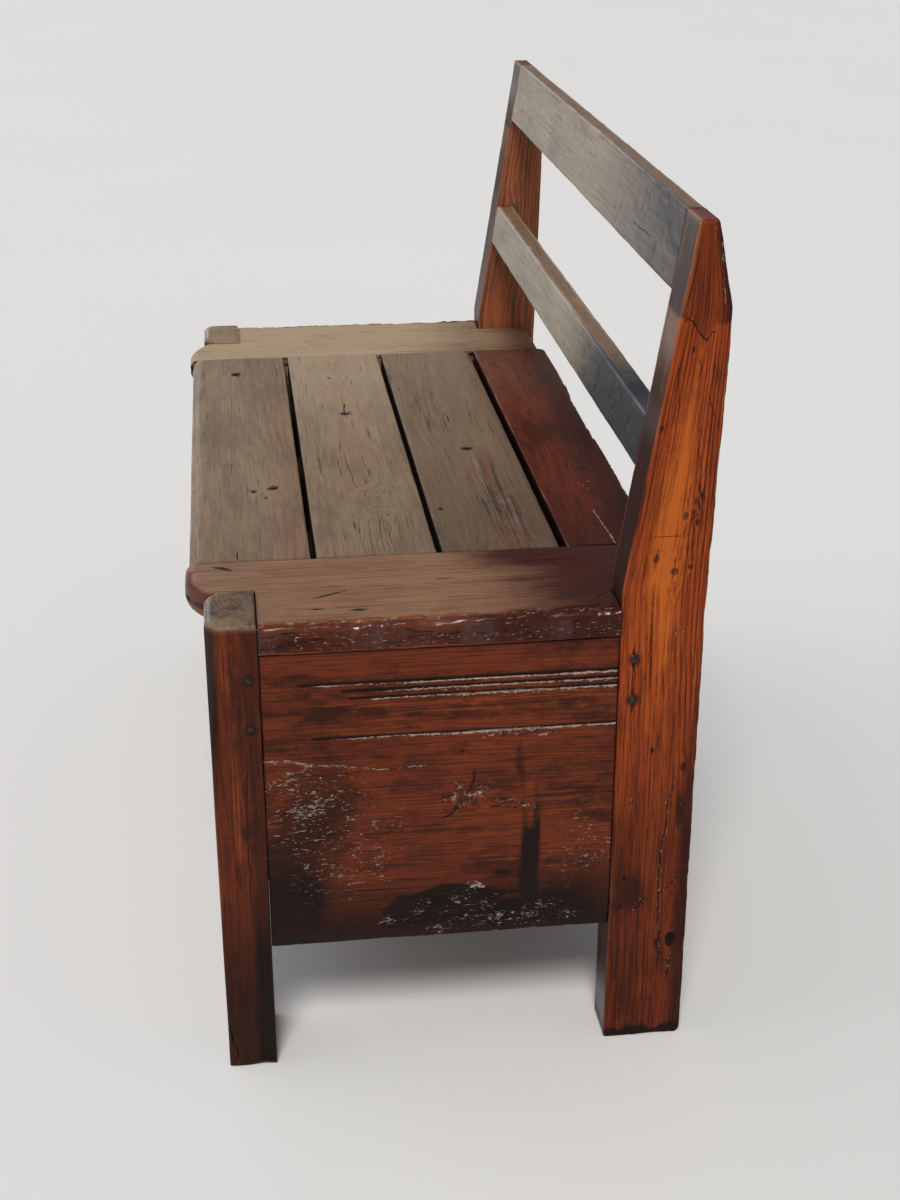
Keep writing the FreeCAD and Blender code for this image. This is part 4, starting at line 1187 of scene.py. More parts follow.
class SETTLE_OT_end_panels(bpy.types.Operator):
    """Make the two end panels with their scratched mouldings"""

    bl_idname = "settle.end_panels"
    bl_label = "End panels"

    def execute(self, context):
        low, high = box_mm("end_panel_right")
        start, stop = box_mm("front_leg_right")[1][1], box_mm("rear_post_right")[0][1]
        for name, side in SIDES:
            fine = (1.9, 1.7) if side > 0 else steps(context)
            outline = rectangle(start, stop, low[2], high[2])
            seed = 307 if side > 0 else 313
            board = Board(outline, high[0] - low[0], seed, fine, (high[2] + 70.0, -28.0))
            board.edge(0, show=1.5, back=1.2, rub=0.7, grime=0.0, ragged=0.4, chips=self.chips(side, start))
            board.edge(2, show=1.2, back=0.8, rub=0.2, grime=0.8)
            board.joint(1, 3)
            board.shade("show", lambda u, v: 3.0 * (1.0 - (v - low[2]) / 16.0).clip(0.0))
            for z, gap, depth in MOULDINGS:
                board.groove(z, start + gap, stop, depth)
            if side > 0:
                self.mark(board)
            else:
                board.patch("stain", -20.0, 160.0, 120.0, 50.0, 0.7)
                board.shade("stain", lambda u, v: 0.6 * ramp(v, 200.0, 128.0))
                board.knot(40.0, 250.0, 9.0, sunk=0.8)
            place = lay("yzx", low[0], side=side)
            finish_board(board, context, "end_panel_" + name, place, "frame", "frame_pine", raw_back=1.0)
        return {"FINISHED"}

    def chips(self, side, start):
        """Chips along the foot of a panel, counted from its front end."""
        if side < 0:
            return ((90.0, 12.0, 1.5), (220.0, 8.0, 2.0))
        return tuple((y - start, 5.0, 1.2) for y, _ in FOOT_CHIPS)

    def mark(self, board):
        """The right panel's scars, splits and stains."""
        board.crack([(-164.0, 321.4), (-98.4, 312.0), (-60.0, 306.5), (-24.0, 307.8)], 1.3, 1.2,
                    dirty=0.0, pale=1.5)
        board.gouge(12.0, 272.0, 21.0, 3.2, dirty=0.5)
        board.crack([(14.0, 276.0), (20.0, 292.0), (19.0, 303.0)], 2.6, 2.2, dirty=0.7)
        board.crack([(14.0, 270.0), (2.0, 259.0), (-10.0, 252.0)], 2.4, 2.0, dirty=0.7)
        board.crack([(24.0, 273.0), (58.0, 266.0), (82.0, 257.5)], 2.2, 2.0, dirty=0.5, pale=0.5)
        board.crack([(34.0, 262.0), (60.0, 259.0)], 1.2, 1.2)
        board.scar(62.0, 335.0, 36.0, 4.0, 1.4, grain=4.0, dirty=0.5, worn=0.4, gap=0.8)
        board.scar(-48.0, 337.0, 24.0, 3.5, 1.2, grain=6.0, dirty=0.6, gap=0.9)
        board.scar(21.0, 181.0, 8.0, 5.0, 1.6, worn=1.2, dirty=0.1)
        board.scar(3.0, 167.0, 8.0, 4.0, 1.2, worn=0.6, dirty=0.3)
        for y, z in FOOT_CHIPS:
            board.scar(y, z, 10.0, 5.0, 1.3, grain=4.0, dirty=0.1, worn=0.5)
        board.patch("pits", -146.0, 278.0, 46.0, 40.0, 1.0, soft=0.7)
        board.patch("pits", -110.0, 225.0, 90.0, 90.0, 0.7, soft=0.8)
        board.patch("pits", 110.0, 215.0, 60.0, 70.0, 0.5, soft=0.8)
        board.patch("pits", 20.0, 150.0, 90.0, 30.0, 0.5, soft=0.8)
        board.patch("stain", -2.0, 160.0, 66.0, 30.0, 1.2, soft=0.8, rough=0.6)
        board.patch("dirt", 2.0, 166.0, 50.0, 20.0, 0.8, soft=0.8, rough=0.7)
        board.patch("dirt", 40.0, 152.0, 34.0, 16.0, 0.6, soft=0.8, rough=0.7)
        board.patch("stain", 71.0, 215.0, 11.0, 74.0, 0.9, soft=0.8, rough=0.5)
        board.patch("stain", 62.0, 305.0, 8.0, 36.0, 0.5, soft=0.9, rough=0.5)
        board.patch("stain", -130.0, 215.0, 70.0, 100.0, 0.6, soft=0.9, rough=0.6)
        board.patch("stain", 110.0, 160.0, 60.0, 70.0, 0.35, soft=0.9, rough=0.6)
        board.shade("stain", lambda u, v: 0.75 * ramp(v, 225.0, 128.0) + 0.12)
        board.shade("wear", lambda u, v: 0.2 * hump((v - 245.0) / 50.0) * hump((u - 60.0) / 90.0))
        board.shade("wear", lambda u, v: 0.3 * hump((v - 362.0) / 16.0) * ramp(u, -140.0, -60.0))
        board.dent(9.0, 320.0, 3.0, 3.0, 1.4, dirty=0.8)
        chance = np.random.default_rng(board.seed)
        for u, v in chance.uniform((-155.0, 140.0), (135.0, 415.0), (26, 2)):
            board.dent(u, v, chance.uniform(2.0, 6.0), chance.uniform(1.2, 3.0), chance.uniform(0.3, 0.9))


def box_board(context, board, name, body, place, moulded):
    """Eases and marks a long board of the box, and makes it. Its mouldings start and end beyond
    the board, so they run its whole length."""
    beyond = 2000.0
    board.edge(0, show=1.6, back=1.2, rub=0.5, grime=0.1, ragged=0.6,
               chips=((160.0, 14.0, 2.0), (520.0, 10.0, 2.4)))
    board.joint(1, 3)
    board.patch("stain", -120.0, 165.0, 200.0, 46.0, 0.6, soft=0.9, rough=0.6)
    board.patch("stain", 250.0, 300.0, 100.0, 70.0, 0.3, soft=0.9, rough=0.6)
    board.shade("wear", lambda u, v: 0.3 * hump((v - 300.0) / 60.0) * hump((u - 40.0) / 180.0))
    board.knot(-210.0, 255.0, 9.0, sunk=0.6)
    board.knot(165.0, 205.0, 7.0, sunk=0.6)
    board.crack([(210.0, 240.0), (290.0, 238.0), (370.0, 243.0)], 1.4, 1.8)
    board.scar(-40.0, 215.0, 16.0, 7.0, 1.4, gap=1.6)
    if moulded:
        for z, _, depth in MOULDINGS:
            board.groove(z, -beyond, beyond, depth)
    finish_board(board, context, name, place, body, "frame_pine", raw_back=1.0)


class SETTLE_OT_front_board(bpy.types.Operator):
    """Make the board that closes the box at the front"""

    bl_idname = "settle.front_board"
    bl_label = "Front board"

    def execute(self, context):
        low, high = box_mm("front_board")
        half = box_mm("front_leg_right")[0][0]
        outline = rectangle(-half, half, low[2], high[2])
        board = Board(outline, high[1] - low[1], 401, (5.0, 3.0), (high[2] + 55.0, -34.0))
        box_board(context, board, "front_board", "frame", lay("xzy", high[1], towards=-1.0), True)
        return {"FINISHED"}


class SETTLE_OT_back_board(bpy.types.Operator):
    """Make the board that closes the box at the back"""

    bl_idname = "settle.back_board"
    bl_label = "Back board"

    def execute(self, context):
        low, high = box_mm("back_board")
        half = box_mm("rear_post_right")[0][0]
        outline = rectangle(-half, half, low[2], high[2])
        board = Board(outline, high[1] - low[1], 409, (5.0, 3.6), (low[2] - 60.0, -40.0))
        board.shade("stain", lambda u, v: 0.5 + 0.0 * u)
        box_board(context, board, "back_board", "frame", lay("xzy", low[1]), False)
        return {"FINISHED"}


class SETTLE_OT_floor(bpy.types.Operator):
    """Make the box's floor boards and the ledges that carry them"""

    bl_idname = "settle.floor"
    bl_label = "Floor and ledges"

    def execute(self, context):
        fit = 0.5
        leg_low, leg_high = box_mm("front_leg_right")
        post_low = box_mm("rear_post_right")[0]
        for number, name in enumerate(("front", "middle", "rear")):
            low, high = box_mm("floor_board_" + name)
            half = high[0]
            outline = rectangle(-half, half, low[1], high[1])
            if name == "front":
                inner, edge = leg_low[0] - fit, leg_high[1] + fit
                outline = [(-inner, low[1]), (inner, low[1]), (inner, edge), (half, edge),
                           (half, high[1]), (-half, high[1]), (-half, edge), (-inner, edge)]
            if name == "rear":
                inner, edge = post_low[0] - fit, post_low[1] - fit
                outline = [(-half, low[1]), (half, low[1]), (half, edge), (inner, edge),
                           (inner, high[1]), (-inner, high[1]), (-inner, edge), (-half, edge)]
            board = Board(outline, high[2] - low[2], 503 + number, steps(context, hidden=True))
            board.knot(-160.0 + 170.0 * number, (low[1] + high[1]) / 2, 8.0)
            place = lay("xyz", low[2])
            finish_board(board, context, "floor_board_" + name, place, "frame", "inner_pine")
        for name, side in SIDES:
            low, high = box_mm("floor_ledge_right")
            outline = rectangle(low[1], high[1], low[2], high[2])
            board = Board(outline, high[0] - low[0], 521, steps(context, hidden=True))
            place = lay("yzx", high[0], towards=-1.0, side=side)
            finish_board(board, context, "floor_ledge_" + name, place, "frame", "inner_pine")
        return {"FINISHED"}


class SETTLE_OT_seat_bearers(bpy.types.Operator):
    """Make the two cross bearers under the seat's ends"""

    bl_idname = "settle.seat_bearers"
    bl_label = "Seat bearers"

    def execute(self, context):
        low, high = box_mm("seat_bearer_right")
        lid_end = box_mm("seat_end_board_right")[0][0]
        relief_start, relief_end, relief = 80.0, box_mm("seat_rear_board")[0][1], 4.0
        for name, side in SIDES:
            board = Board(rectangle(low[1], high[1], low[0], high[0]), high[2] - low[2], 541, (5.0, 4.0))
            for step in (relief_start, relief_end):
                board.dense[0].append((step - 1.0, step + 1.0, 0.5))
            board.dense[1].append((lid_end - 1.0, lid_end + 1.0, 0.5))
            board.shade("show", lambda u, v: (relief + 0.6) * ramp(u, relief_start, relief_start + 1.0)
                        * ramp(u, relief_end + 1.0, relief_end) * ramp(v, lid_end + 1.0, lid_end))
            place = lay("yxz", low[2], side=side)
            finish_board(board, context, "seat_bearer_" + name, place, "frame", "inner_pine")
        return {"FINISHED"}


def end_board_place(low, side, arc_start, leg_inner, setback, reach):
    """Where a seat end board goes. Its front edge follows a circular arc from arc_start to the leg,
    and the wood behind is drawn back with it, less and less over the reach."""
    run = leg_inner - arc_start
    radius = (run**2 + setback**2) / (2 * setback)

    def place(u, v, w):
        over = np.clip(v - arc_start, 0.0, run)
        shift = radius - np.sqrt(radius**2 - over**2)
        back = u + shift * np.clip(1.0 - (u - low[1]) / reach, 0.0, 1.0)
        return np.stack([v * side, back, low[2] + w], -1)

    return place


class SETTLE_OT_seat_end_boards(bpy.types.Operator):
    """Make the seat's two end boards, notched round the legs and posts"""

    bl_idname = "settle.seat_end_boards"
    bl_label = "Seat end boards"

    def execute(self, context):
        low, high = box_mm("seat_end_board_right")
        leg_low, leg_high = box_mm("front_leg_right")
        post_low = box_mm("rear_post_right")[0]
        nose, inner, outer = low[1], low[0], high[0]
        arc, setback = 29.0, 19.0
        outline = [
            (nose, inner), (high[1], inner), (high[1], post_low[0]), (post_low[1], post_low[0]),
            (post_low[1], outer), (leg_high[1], outer), (leg_high[1], leg_low[0]), (nose, leg_low[0]),
        ]
        for name, side in SIDES:
            seed = 605 if side > 0 else 617
            board = Board(outline, high[2] - low[2], seed, steps(context), (inner - 55.0, -46.0))
            board.dense[0].append((nose, nose + NOSE_REACH, NOSE_GAP))
            board.dense[1].append((outer - 14.0, outer, 1.2))
            board.edge(0, show=1.4, back=1.0, rub=0.25, grime=0.4)
            board.edge(1, show=1.5, back=1.5, rub=0.1, grime=0.5)
            board.joint(2, radius=0.9)
            board.joint(3, 5, radius=0.9, grime=0.9)
            board.edge(4, show=6.5, back=1.6, rub=0.3, grime=0.0, chips=(
                (60.0, 9.0, 3.0), (96.0, 7.0, 2.0), (150.0, 16.0, 2.0),
                (232.0, 12.0, 2.6), (270.0, 8.0, 2.4),
            ))
            board.edge(6, show=0.9, back=0.9, rub=0.1, grime=0.8)
            board.edge(7, show=NOSE_RADIUS, back=NOSE_RADIUS, rub=0.5, grime=0.0, ragged=0.06)
            self.mark(board, side)
            place = end_board_place(low, side, inner + arc, leg_low[0], setback, leg_high[1] - nose)
            finish_board(board, context, "seat_end_board_" + name, place, "frame", "end_board_pine")
        return {"FINISHED"}

    def mark(self, board, side):
        """A dark rear end, a rubbed and torn outer edge, and dents."""
        dark = 1.0 if side > 0 else 0.35
        # Darker towards the rear: partly darker wood, partly painted reflection of the dark post.
        board.shade("stain", lambda u, v: dark * (
            0.95 * ramp(u, -30.0, 150.0) + 0.5 * ramp(v, 380.0, 330.0) * ramp(u, -60.0, 100.0)))
        edge = lambda u, v: ramp(v + 2.0 * value_noise(board.seed + 8, u / 9.0, u * 0.0), 453.0, 457.0)
        board.shade("warm", lambda u, v: 1.3 * edge(u, v))
        board.shade("stain", lambda u, v: edge(u, v) * (0.25 + 0.45 * ramp(v, 456.0, 461.0)))
        # Painted glints along the worn outer arris.
        board.shade("flake", lambda u, v: 0.42 * hump((v - 459.0) / 3.0))
        board.relief, board.checks, board.rows_apart = 0.8, 1.1, 1.2
        board.wall["stain"] = lambda u, v, w: 0.5 * ramp(u, -218.0, -222.0) + 0.12 * ramp(v, 463.0, 464.0)
        # Painted glints over the outer face, strongest along its lower edge.
        board.wall["flake"] = lambda u, v, w: ramp(v, 463.0, 464.0) * (0.2 + 1.2 * ramp(w, 1.8, 0.8))
        board.scar(0.0, 460.0, 165.0, 5.0, 1.1, grain=4.0, stretch=6.0, dirty=0.3, gap=1.0)
        for u in (-136.0, -118.0, -96.0, -55.0, -20.0, 12.0, 40.0, 74.0, 110.0):
            board.scar(u, 456.0, 12.0, 3.6, 1.0, grain=3.5, stretch=5.0, dirty=0.5, worn=0.4, gap=1.0)
        board.crack([(60.0, 350.0), (150.0, 352.0)], 0.8, 0.8)
        if side < 0:
            board.knot(-60.0, 372.0, 8.0)
            # The left board is paler: painted sheen.
            board.shade("raw", lambda u, v: ramp(u, 230.0, 120.0) * ramp(v, 462.0, 452.0))
            board.shade("bleach", lambda u, v: 0.42 * ramp(u, 160.0, 40.0))
            return
        board.crack([(-200.0, 331.0), (-192.0, 334.0), (-183.0, 340.5)], 5.0, 2.6, wander=0.6, dirty=0.9)
        board.shade("stain", lambda u, v: 0.7 * ramp(u, -216.0, -221.0) * ramp(v, 326.0, 340.0))
        board.shade("warm", lambda u, v: 0.6 * ramp(u, -212.0, -219.0) * ramp(v, 322.0, 340.0))
        board.crack([(-116.0, 411.0), (-84.0, 396.0)], 3.0, 1.8, wander=0.6, dirty=0.8)
        board.dent(-77.0, 437.0, 9.0, 3.0, 0.9, dirty=0.9)
        board.dent(-112.0, 432.0, 8.0, 2.0, 0.6, dirty=0.8)
        board.dent(-133.0, 371.0, 8.0, 3.5, 0.5, dirty=0.1)
        board.crack([(128.0, 436.0), (141.0, 428.0)], 1.6, 1.4)
        chance = np.random.default_rng(board.seed)
        for u, v in chance.uniform((-150.0, 446.0), (140.0, 463.0), (22, 2)):
            board.dent(u, v, chance.uniform(3.0, 9.0), chance.uniform(1.2, 2.4), chance.uniform(0.5, 1.4))


class SETTLE_OT_seat_rear_board(bpy.types.Operator):
    """Make the fixed board behind the lid"""

    bl_idname = "settle.seat_rear_board"
    bl_label = "Seat rear board"

    def execute(self, context):
        low, high = box_mm("seat_rear_board")
        outline = rectangle(low[0], high[0], low[1], high[1])
        board = Board(outline, high[2] - low[2], 701, steps(context), ((low[1] + high[1]) / 2, -64.0))
        board.edge(0, show=1.8, back=1.2, rub=0.3, grime=0.6)
        board.joint(1, 3, radius=0.9)
        board.edge(2, show=2.2, back=2.0, rub=0.5, grime=0.0, ragged=0.8,
                   chips=((150.0, 10.0, 2.0), (430.0, 14.0, 2.0)))
        board.corner(2, 12.0)
        board.corner(3, 12.0)
        board.inset(2, lambda u: (
            4.5 * ramp(u, -200.0, -60.0) + 0.6 * fractal(703, 2, u / 60.0, u * 0.0).clip(0.0)))
        board.crack([(236.0, 168.6), (280.0, 171.0), (319.0, 172.4)], 1.1, 0.9, wander=0.6,
                    dirty=0.0, pale=2.0)
        board.scar(167.0, 176.0, 24.0, 5.0, 0.8, grain=5.0, dirty=0.3, worn=0.35, gloss=0.1)
        board.scar(160.0, 168.0, 9.0, 3.0, 0.6, grain=4.0, dirty=0.2, worn=0.3, gloss=0.1)
        # Paler towards the left end: painted sheen.
        board.shade("bleach", lambda u, v: 0.08 * ramp(u, 0.0, -260.0))
        board.knot(120.0, 180.0, 7.0, sunk=0.2)
        board.shade("stain", lambda u, v: 0.5 * ramp(u, 120.0, 310.0) + 0.35 * ramp(v, 190.0, 212.0))
        place = lay("xyz", low[2])
        finish_board(board, context, "seat_rear_board", place, "frame", "rear_board_pine", raw_back=1.0)
        return {"FINISHED"}


class SETTLE_OT_lid_planks(bpy.types.Operator):
    """Make the three planks of the lid"""

    bl_idname = "settle.lid_planks"
    bl_label = "Lid planks"

    def execute(self, context):
        marks = {"front": self.mark_front, "middle": self.mark_middle, "rear": self.mark_rear}
        for number, (name, mark) in enumerate(marks.items()):
            low, high = box_mm("lid_plank_" + name)
            middle = (low[1] + high[1]) / 2
            pith = ((middle - 12.0, -60.0), (middle + 2.0, -38.0), (middle + 30.0, -52.0))[number]
            outline = rectangle(low[0], high[0], low[1], high[1])
            board = Board(outline, high[2] - low[2], 811 + 10 * number, steps(context), pith)
            for side in range(4):
                board.edge(side, show=1.7, back=1.4, rub=0.3, grime=0.5, gloss=0.1)
            # Painted shade: the planks' sides in the gaps between them are darkened; the front plank's nose
            # is left clear.
            board.wall["dirt"] = lambda u, v, w: 0.8 + 0.0 * w
            if name == "front":
                board.edge(0, show=NOSE_RADIUS, back=NOSE_RADIUS, rub=0.4, grime=0.0, ragged=0.06)
                board.wall["dirt"] = lambda u, v, w, low=low: 0.8 * ramp(v, low[1] + 0.5, low[1] + 1.5)
                board.dense[1].append((low[1], low[1] + NOSE_REACH, NOSE_GAP))
            if name == "rear":
                board.edge(2, show=5.0, back=5.0, rub=0.2, grime=0.3, ragged=0.08)
            board.shade("show", lambda u, v: 0.7 * hump((v - middle) / 40.0) * hump((u - 30.0) / 240.0))
            mark(board)
            place = lay("xyz", low[2])
            finish_board(board, context, "lid_plank_" + name, place, "lid", "seat_pine", raw_back=1.0)
        return {"FINISHED"}

    def mark_front(self, board):
        """A star knot, small pits and a pinkish streak."""
        board.knot(-255.0, -170.5, 6.0, stretch=1.1, sunk=2.0)
        board.crack([(-264.0, -176.0), (-255.0, -170.5), (-238.0, -166.0)], 2.0, 1.8)
        board.crack([(-247.0, -178.0), (-262.0, -164.0)], 1.8, 1.6)
        board.dent(-212.0, -148.0, 9.0, 5.0, 0.8, dirty=0.25)
        board.dent(140.0, -158.7, 4.6, 3.6, 1.8, dirty=1.0)
        board.crack([(138.0, -146.0), (134.0, -140.0), (131.0, -133.0)], 5.0, 2.0, wander=0.8, dirty=0.9)
        board.knot(134.0, -138.6, 5.0, stretch=1.3, sunk=1.2)
        board.dent(160.0, -147.0, 3.0, 2.4, 1.0, dirty=0.8)
        board.crack([(296.0, -177.4), (SPLIT_END, -177.0)], 1.2, 1.6)
        board.crack([(-70.0, -186.0), (-62.0, -168.0), (-56.0, -158.0)], 0.9, 0.6, dirty=0.5)
        board.patch("stain", -60.0, -165.0, 60.0, 22.0, 0.25)
        board.shade("warm", lambda u, v: 0.3 * hump((v + 124.0) / 11.0) + 0.15 * ramp(u, 150.0, 300.0))
        board.shade("stain", lambda u, v: 0.18 * ramp(u, 40.0, 300.0))

    def mark_middle(self, board):
        """A ring-shaped knot, a check with a knot at its end, and fine splits by the near end."""
        board.knot(-229.5, -59.6, 15.0, stretch=1.5, sunk=0.0, flow=2.0, heart=False)
        ring = lambda u, v: (
            np.hypot((u + 229.5) / 1.35, v + 59.6) + 1.5 * value_noise(831, u / 12.0, v / 12.0))
        board.shade("stain", lambda u, v: (
            0.3 * hump((ring(u, v) - 21.0) / 1.8) + 0.22 * hump((ring(u, v) - 13.0) / 1.6)))
        board.shade("bleach", lambda u, v: 0.1 * hump(ring(u, v) / 12.0))
        board.dent(-229.0, -61.0, 3.4, 3.0, 0.9, dirty=0.9)
        board.crack([(-131.0, -49.5), (-112.0, -50.5), (-96.0, -51.0)], 1.8, 1.8)
        board.knot(-93.0, -51.2, 6.4, stretch=1.0, sunk=2.0)
        board.crack([(-97.0, -43.0), (-93.0, -59.0)], 2.2, 1.4)
        board.crack([(40.0, -62.0), (95.0, -60.0), (150.0, -57.0)], 0.9, 1.2)
        board.crack([(60.0, -70.0), (110.0, -69.0)], 0.8, 1.0)
        board.crack([(20.0, -44.0), (90.0, -42.0), (140.0, -38.0)], 0.8, 0.9, dirty=0.6)
        board.knot(182.0, -41.4, 13.0, stretch=1.3, sunk=0.0, flow=2.4, heart=False)
        for v, start, width in (
            (-42.5, 196.0, 1.1), (-53.0, 226.0, 0.9), (-34.0, 238.0, 0.9), (-25.0, 250.0, 0.7),
            (-47.5, 262.0, 0.7), (-60.0, 268.0, 0.7), (-38.5, 280.0, 0.7),
        ):
            path = [(start, v + 1.0), ((start + SPLIT_END) / 2, v - 0.6), (SPLIT_END, v)]
            board.crack(path, width, 1.2, wander=1.5, dirty=0.6)
        board.crack([(236.0, -68.0), (256.0, -67.0)], 1.2, 1.2)
        board.patch("bleach", -60.0, -50.0, 180.0, 36.0, 0.12, soft=0.9)
        # Paler towards the left end: painted sheen.
        board.shade("bleach", lambda u, v: 0.34 * ramp(u, 60.0, -280.0))
        board.shade("warm", lambda u, v: 0.15 * hump((v + 52.0) / 20.0) * ramp(u, 320.0, -40.0))
        board.shade("stain", lambda u, v: (
            0.22 * ramp(u, 60.0, 300.0) * ramp(v, -70.0, -20.0) + 0.1 * ramp(u, 100.0, 300.0)))

    def mark_rear(self, board):
        """A dark knot with reddish streaks behind it, a check and a dark dot."""
        board.knot(38.3, 69.0, 6.6, stretch=0.9, sunk=2.2)
        board.crack([(40.0, 61.0), (37.0, 78.0)], 2.6, 1.6)
        board.crack([(-90.0, 60.0), (-64.0, 61.5), (-44.0, 62.0)], 1.3, 1.4)
        for v, start, width in (
            (64.0, 90.0, 0.8), (70.0, 60.0, 1.1), (75.0, 120.0, 0.8), (81.0, 100.0, 0.9),
            (87.0, 150.0, 0.9), (93.0, 130.0, 0.8), (67.0, 200.0, 0.8), (84.0, 220.0, 0.8),
            (78.0, 190.0, 0.9),
        ):
            path = [(start, v), (start + 60.0, v - 1.5), (start + 110.0, v + 1.2), (SPLIT_END, v + 2.0)]
            board.crack(path, width, 0.9, wander=1.3, dirty=0.5)
        board.dent(211.6, 20.4, 3.6, 3.0, 1.4, dirty=1.0)
        board.knot(198.0, 85.4, 8.0, stretch=1.1, sunk=0.0, heart=False)
        board.patch("bleach", 198.0, 85.4, 9.0, 8.0, 0.3)
        board.patch("bleach", 150.0, 72.0, 110.0, 5.0, 0.18, soft=0.8)
        board.patch("bleach", 230.0, 88.0, 80.0, 4.0, 0.18, soft=0.8)
        board.shade("warm", lambda u, v: 0.8 * hump((v - 80.0) / 13.0) * ramp(u, 20.0, 120.0))
        board.shade("stain", lambda u, v: 0.5 * hump((v - 78.0) / 18.0) * ramp(u, 30.0, 140.0) * ramp(
            value_noise(835, u / 70.0, v / 3.2), 0.0, 0.5))
        board.shade("stain", lambda u, v: 0.36 + 0.22 * ramp(u, 0.0, 300.0) + 0.15 * ramp(v, 90.0, 116.0))
        # Paler towards the left end: painted sheen.
        board.shade("bleach", lambda u, v: 0.12 * ramp(u, -60.0, -300.0))


class SETTLE_OT_lid_battens(bpy.types.Operator):
    """Make the three battens that hold the lid's planks together"""

    bl_idname = "settle.lid_battens"
    bl_label = "Lid battens"

    def execute(self, context):
        bevel = 6.0
        gaps = [(box_mm("lid_plank_" + front)[1][1] + box_mm("lid_plank_" + back)[0][1]) / 2
                for front, back in (("front", "middle"), ("middle", "rear"))]
        for number, name in enumerate(("left", "middle", "right")):
            low, high = box_mm("lid_batten_" + name)
            outline = rectangle(low[1], high[1], low[0], high[0])
            board = Board(outline, high[2] - low[2], 911 + number, (4.0, 3.0))
            board.shade("show", lambda u, v: (
                (bevel - (u - low[1])).clip(0.0) + (bevel - (high[1] - u)).clip(0.0)))
            for gap in gaps:
                board.dense[0].append((gap - 9.0, gap + 9.0, 1.5))
                # Painted shade: the battens are darkened under the gaps between the planks.
                board.shade("dirt", lambda u, v, gap=gap: 1.8 * hump((u - gap) / 6.0))
            place = lay("yxz", high[2], towards=-1.0)
            finish_board(board, context, "lid_batten_" + name, place, "lid", "inner_pine")
        return {"FINISHED"}


class SETTLE_OT_back_rails(bpy.types.Operator):
    """Make the two back rails, flush with the posts' raked fronts"""

    bl_idname = "settle.back_rails"
    bl_label = "Back rails"

    def execute(self, context):
        half = box_mm("rear_post_right")[0][0]
        for number, (name, thick) in enumerate((("top_rail", 22.0), ("mid_rail", 20.0))):
            low, high = box_mm(name)
            outline = rectangle(-half, half, low[2], high[2])
            pith = (high[2] + 40.0, -60.0)
            board = Board(outline, thick, 1009 + 8 * number, steps(context), pith)
            board.edge(0, show=1.6, back=1.4, rub=0.3, grime=0.2, ragged=0.25)
            board.joint(1, 3, grime=0.9)
            board.edge(2, show=2.2, back=1.6, rub=0.8, grime=0.0, ragged=0.4,
                       chips=((260.0, 14.0, 1.2), (610.0, 9.0, 1.6)))
            # The top and bottom faces are rubbed brown, without the front's painted sheen; the top face is
            # spared the darker right end and is dirtier.
            board.wall["wear"] = lambda u, v, w: 0.6 + 0.0 * w
            board.wall["stain"] = lambda u, v, w, top=high[2]: -0.6 * ramp(v, top - 1.0, top - 0.5)
            board.wall["dirt"] = lambda u, v, w, top=high[2]: 0.35 * ramp(v, top - 1.0, top - 0.5)
            # Darker and blue-grey towards the right end: painted reflection of the cool light, where the
            # painted sheen fades.
            board.shade("stain", lambda u, v, number=number: 0.8 * number * ramp(u, 40.0, 380.0))
            self.mark(board, low[2], high[2])
            finish_board(board, context, name, self.place(thick), "frame", "rail_pine")
        return {"FINISHED"}

    def place(self, thick):
        """v is height; w runs forwards to the rake, and gives way where the posts' backs come closer."""

        def put(u, v, w):
            front = np.interp(v, RAKE_HEIGHTS, RAKE_FRONTS)
            room = np.interp(v, BACK_HEIGHTS, BACK_EDGES) - front
            return np.stack([u, front + (thick - w) / thick * np.minimum(thick, room), v], -1)

        return put

    def mark(self, board, bottom, top):
        """Short upright dents and scuffs over the front, and a darker right-hand end."""
        # Darker and blue-grey towards the right end: painted reflection of the cool light, where the
        # painted sheen fades.
        board.shade("stain", lambda u, v: 0.75 * ramp(u, -60.0, 400.0))
        chance = np.random.default_rng(board.seed)
        for u, v in chance.uniform((-400.0, bottom + 8.0), (400.0, top - 8.0), (34, 2)):
            board.dent(u, v, chance.uniform(1.5, 4.0), chance.uniform(3.0, 8.0), chance.uniform(0.3, 0.9),
                       dirty=0.2)
        board.crack([(250.0, bottom + 20.0), (330.0, bottom + 23.0)], 0.9, 1.2)


def lathe(profile, centre, axis, turns=20, seed=0):
    """A closed rod turned about an axis: profile lists (distance along, radius) between its two
    poles, and the radius wavers as on a whittled peg."""
    profile = np.array(profile, float)
    angle = np.arange(turns) * math.tau / turns
    along, radius = profile[1:-1, 0][:, None], profile[1:-1, 1][:, None]
    waver = 1.0 + 0.07 * value_noise(seed, np.cos(angle) * 1.7 + 9.0, np.sin(angle) * 1.7 + 9.0) - 0.05
    first, second = np.eye(3)[(axis + 1) % 3], np.eye(3)[(axis + 2) % 3]
    rings = (
        along[..., None] * np.eye(3)[axis]
        + (radius * waver * np.cos(angle))[..., None] * first
        + (radius * waver * np.sin(angle))[..., None] * second
    )
    poles = profile[[0, -1], 0][:, None] * np.eye(3)[axis]
    places = np.concatenate([rings.reshape(-1, 3), poles]) + centre
    count = len(profile) - 2
    index = np.arange(count * turns).reshape(count, turns)
    after = np.roll(index, -1, 1)
    quads = np.stack([index[:-1], after[:-1], after[1:], index[1:]], -1).reshape(-1, 4)
    low = np.stack([np.full(turns, count * turns), after[0], index[0]], -1)
    high = np.stack([np.full(turns, count * turns + 1), index[-1], after[-1]], -1)
    return places, quads, np.concatenate([low, high])


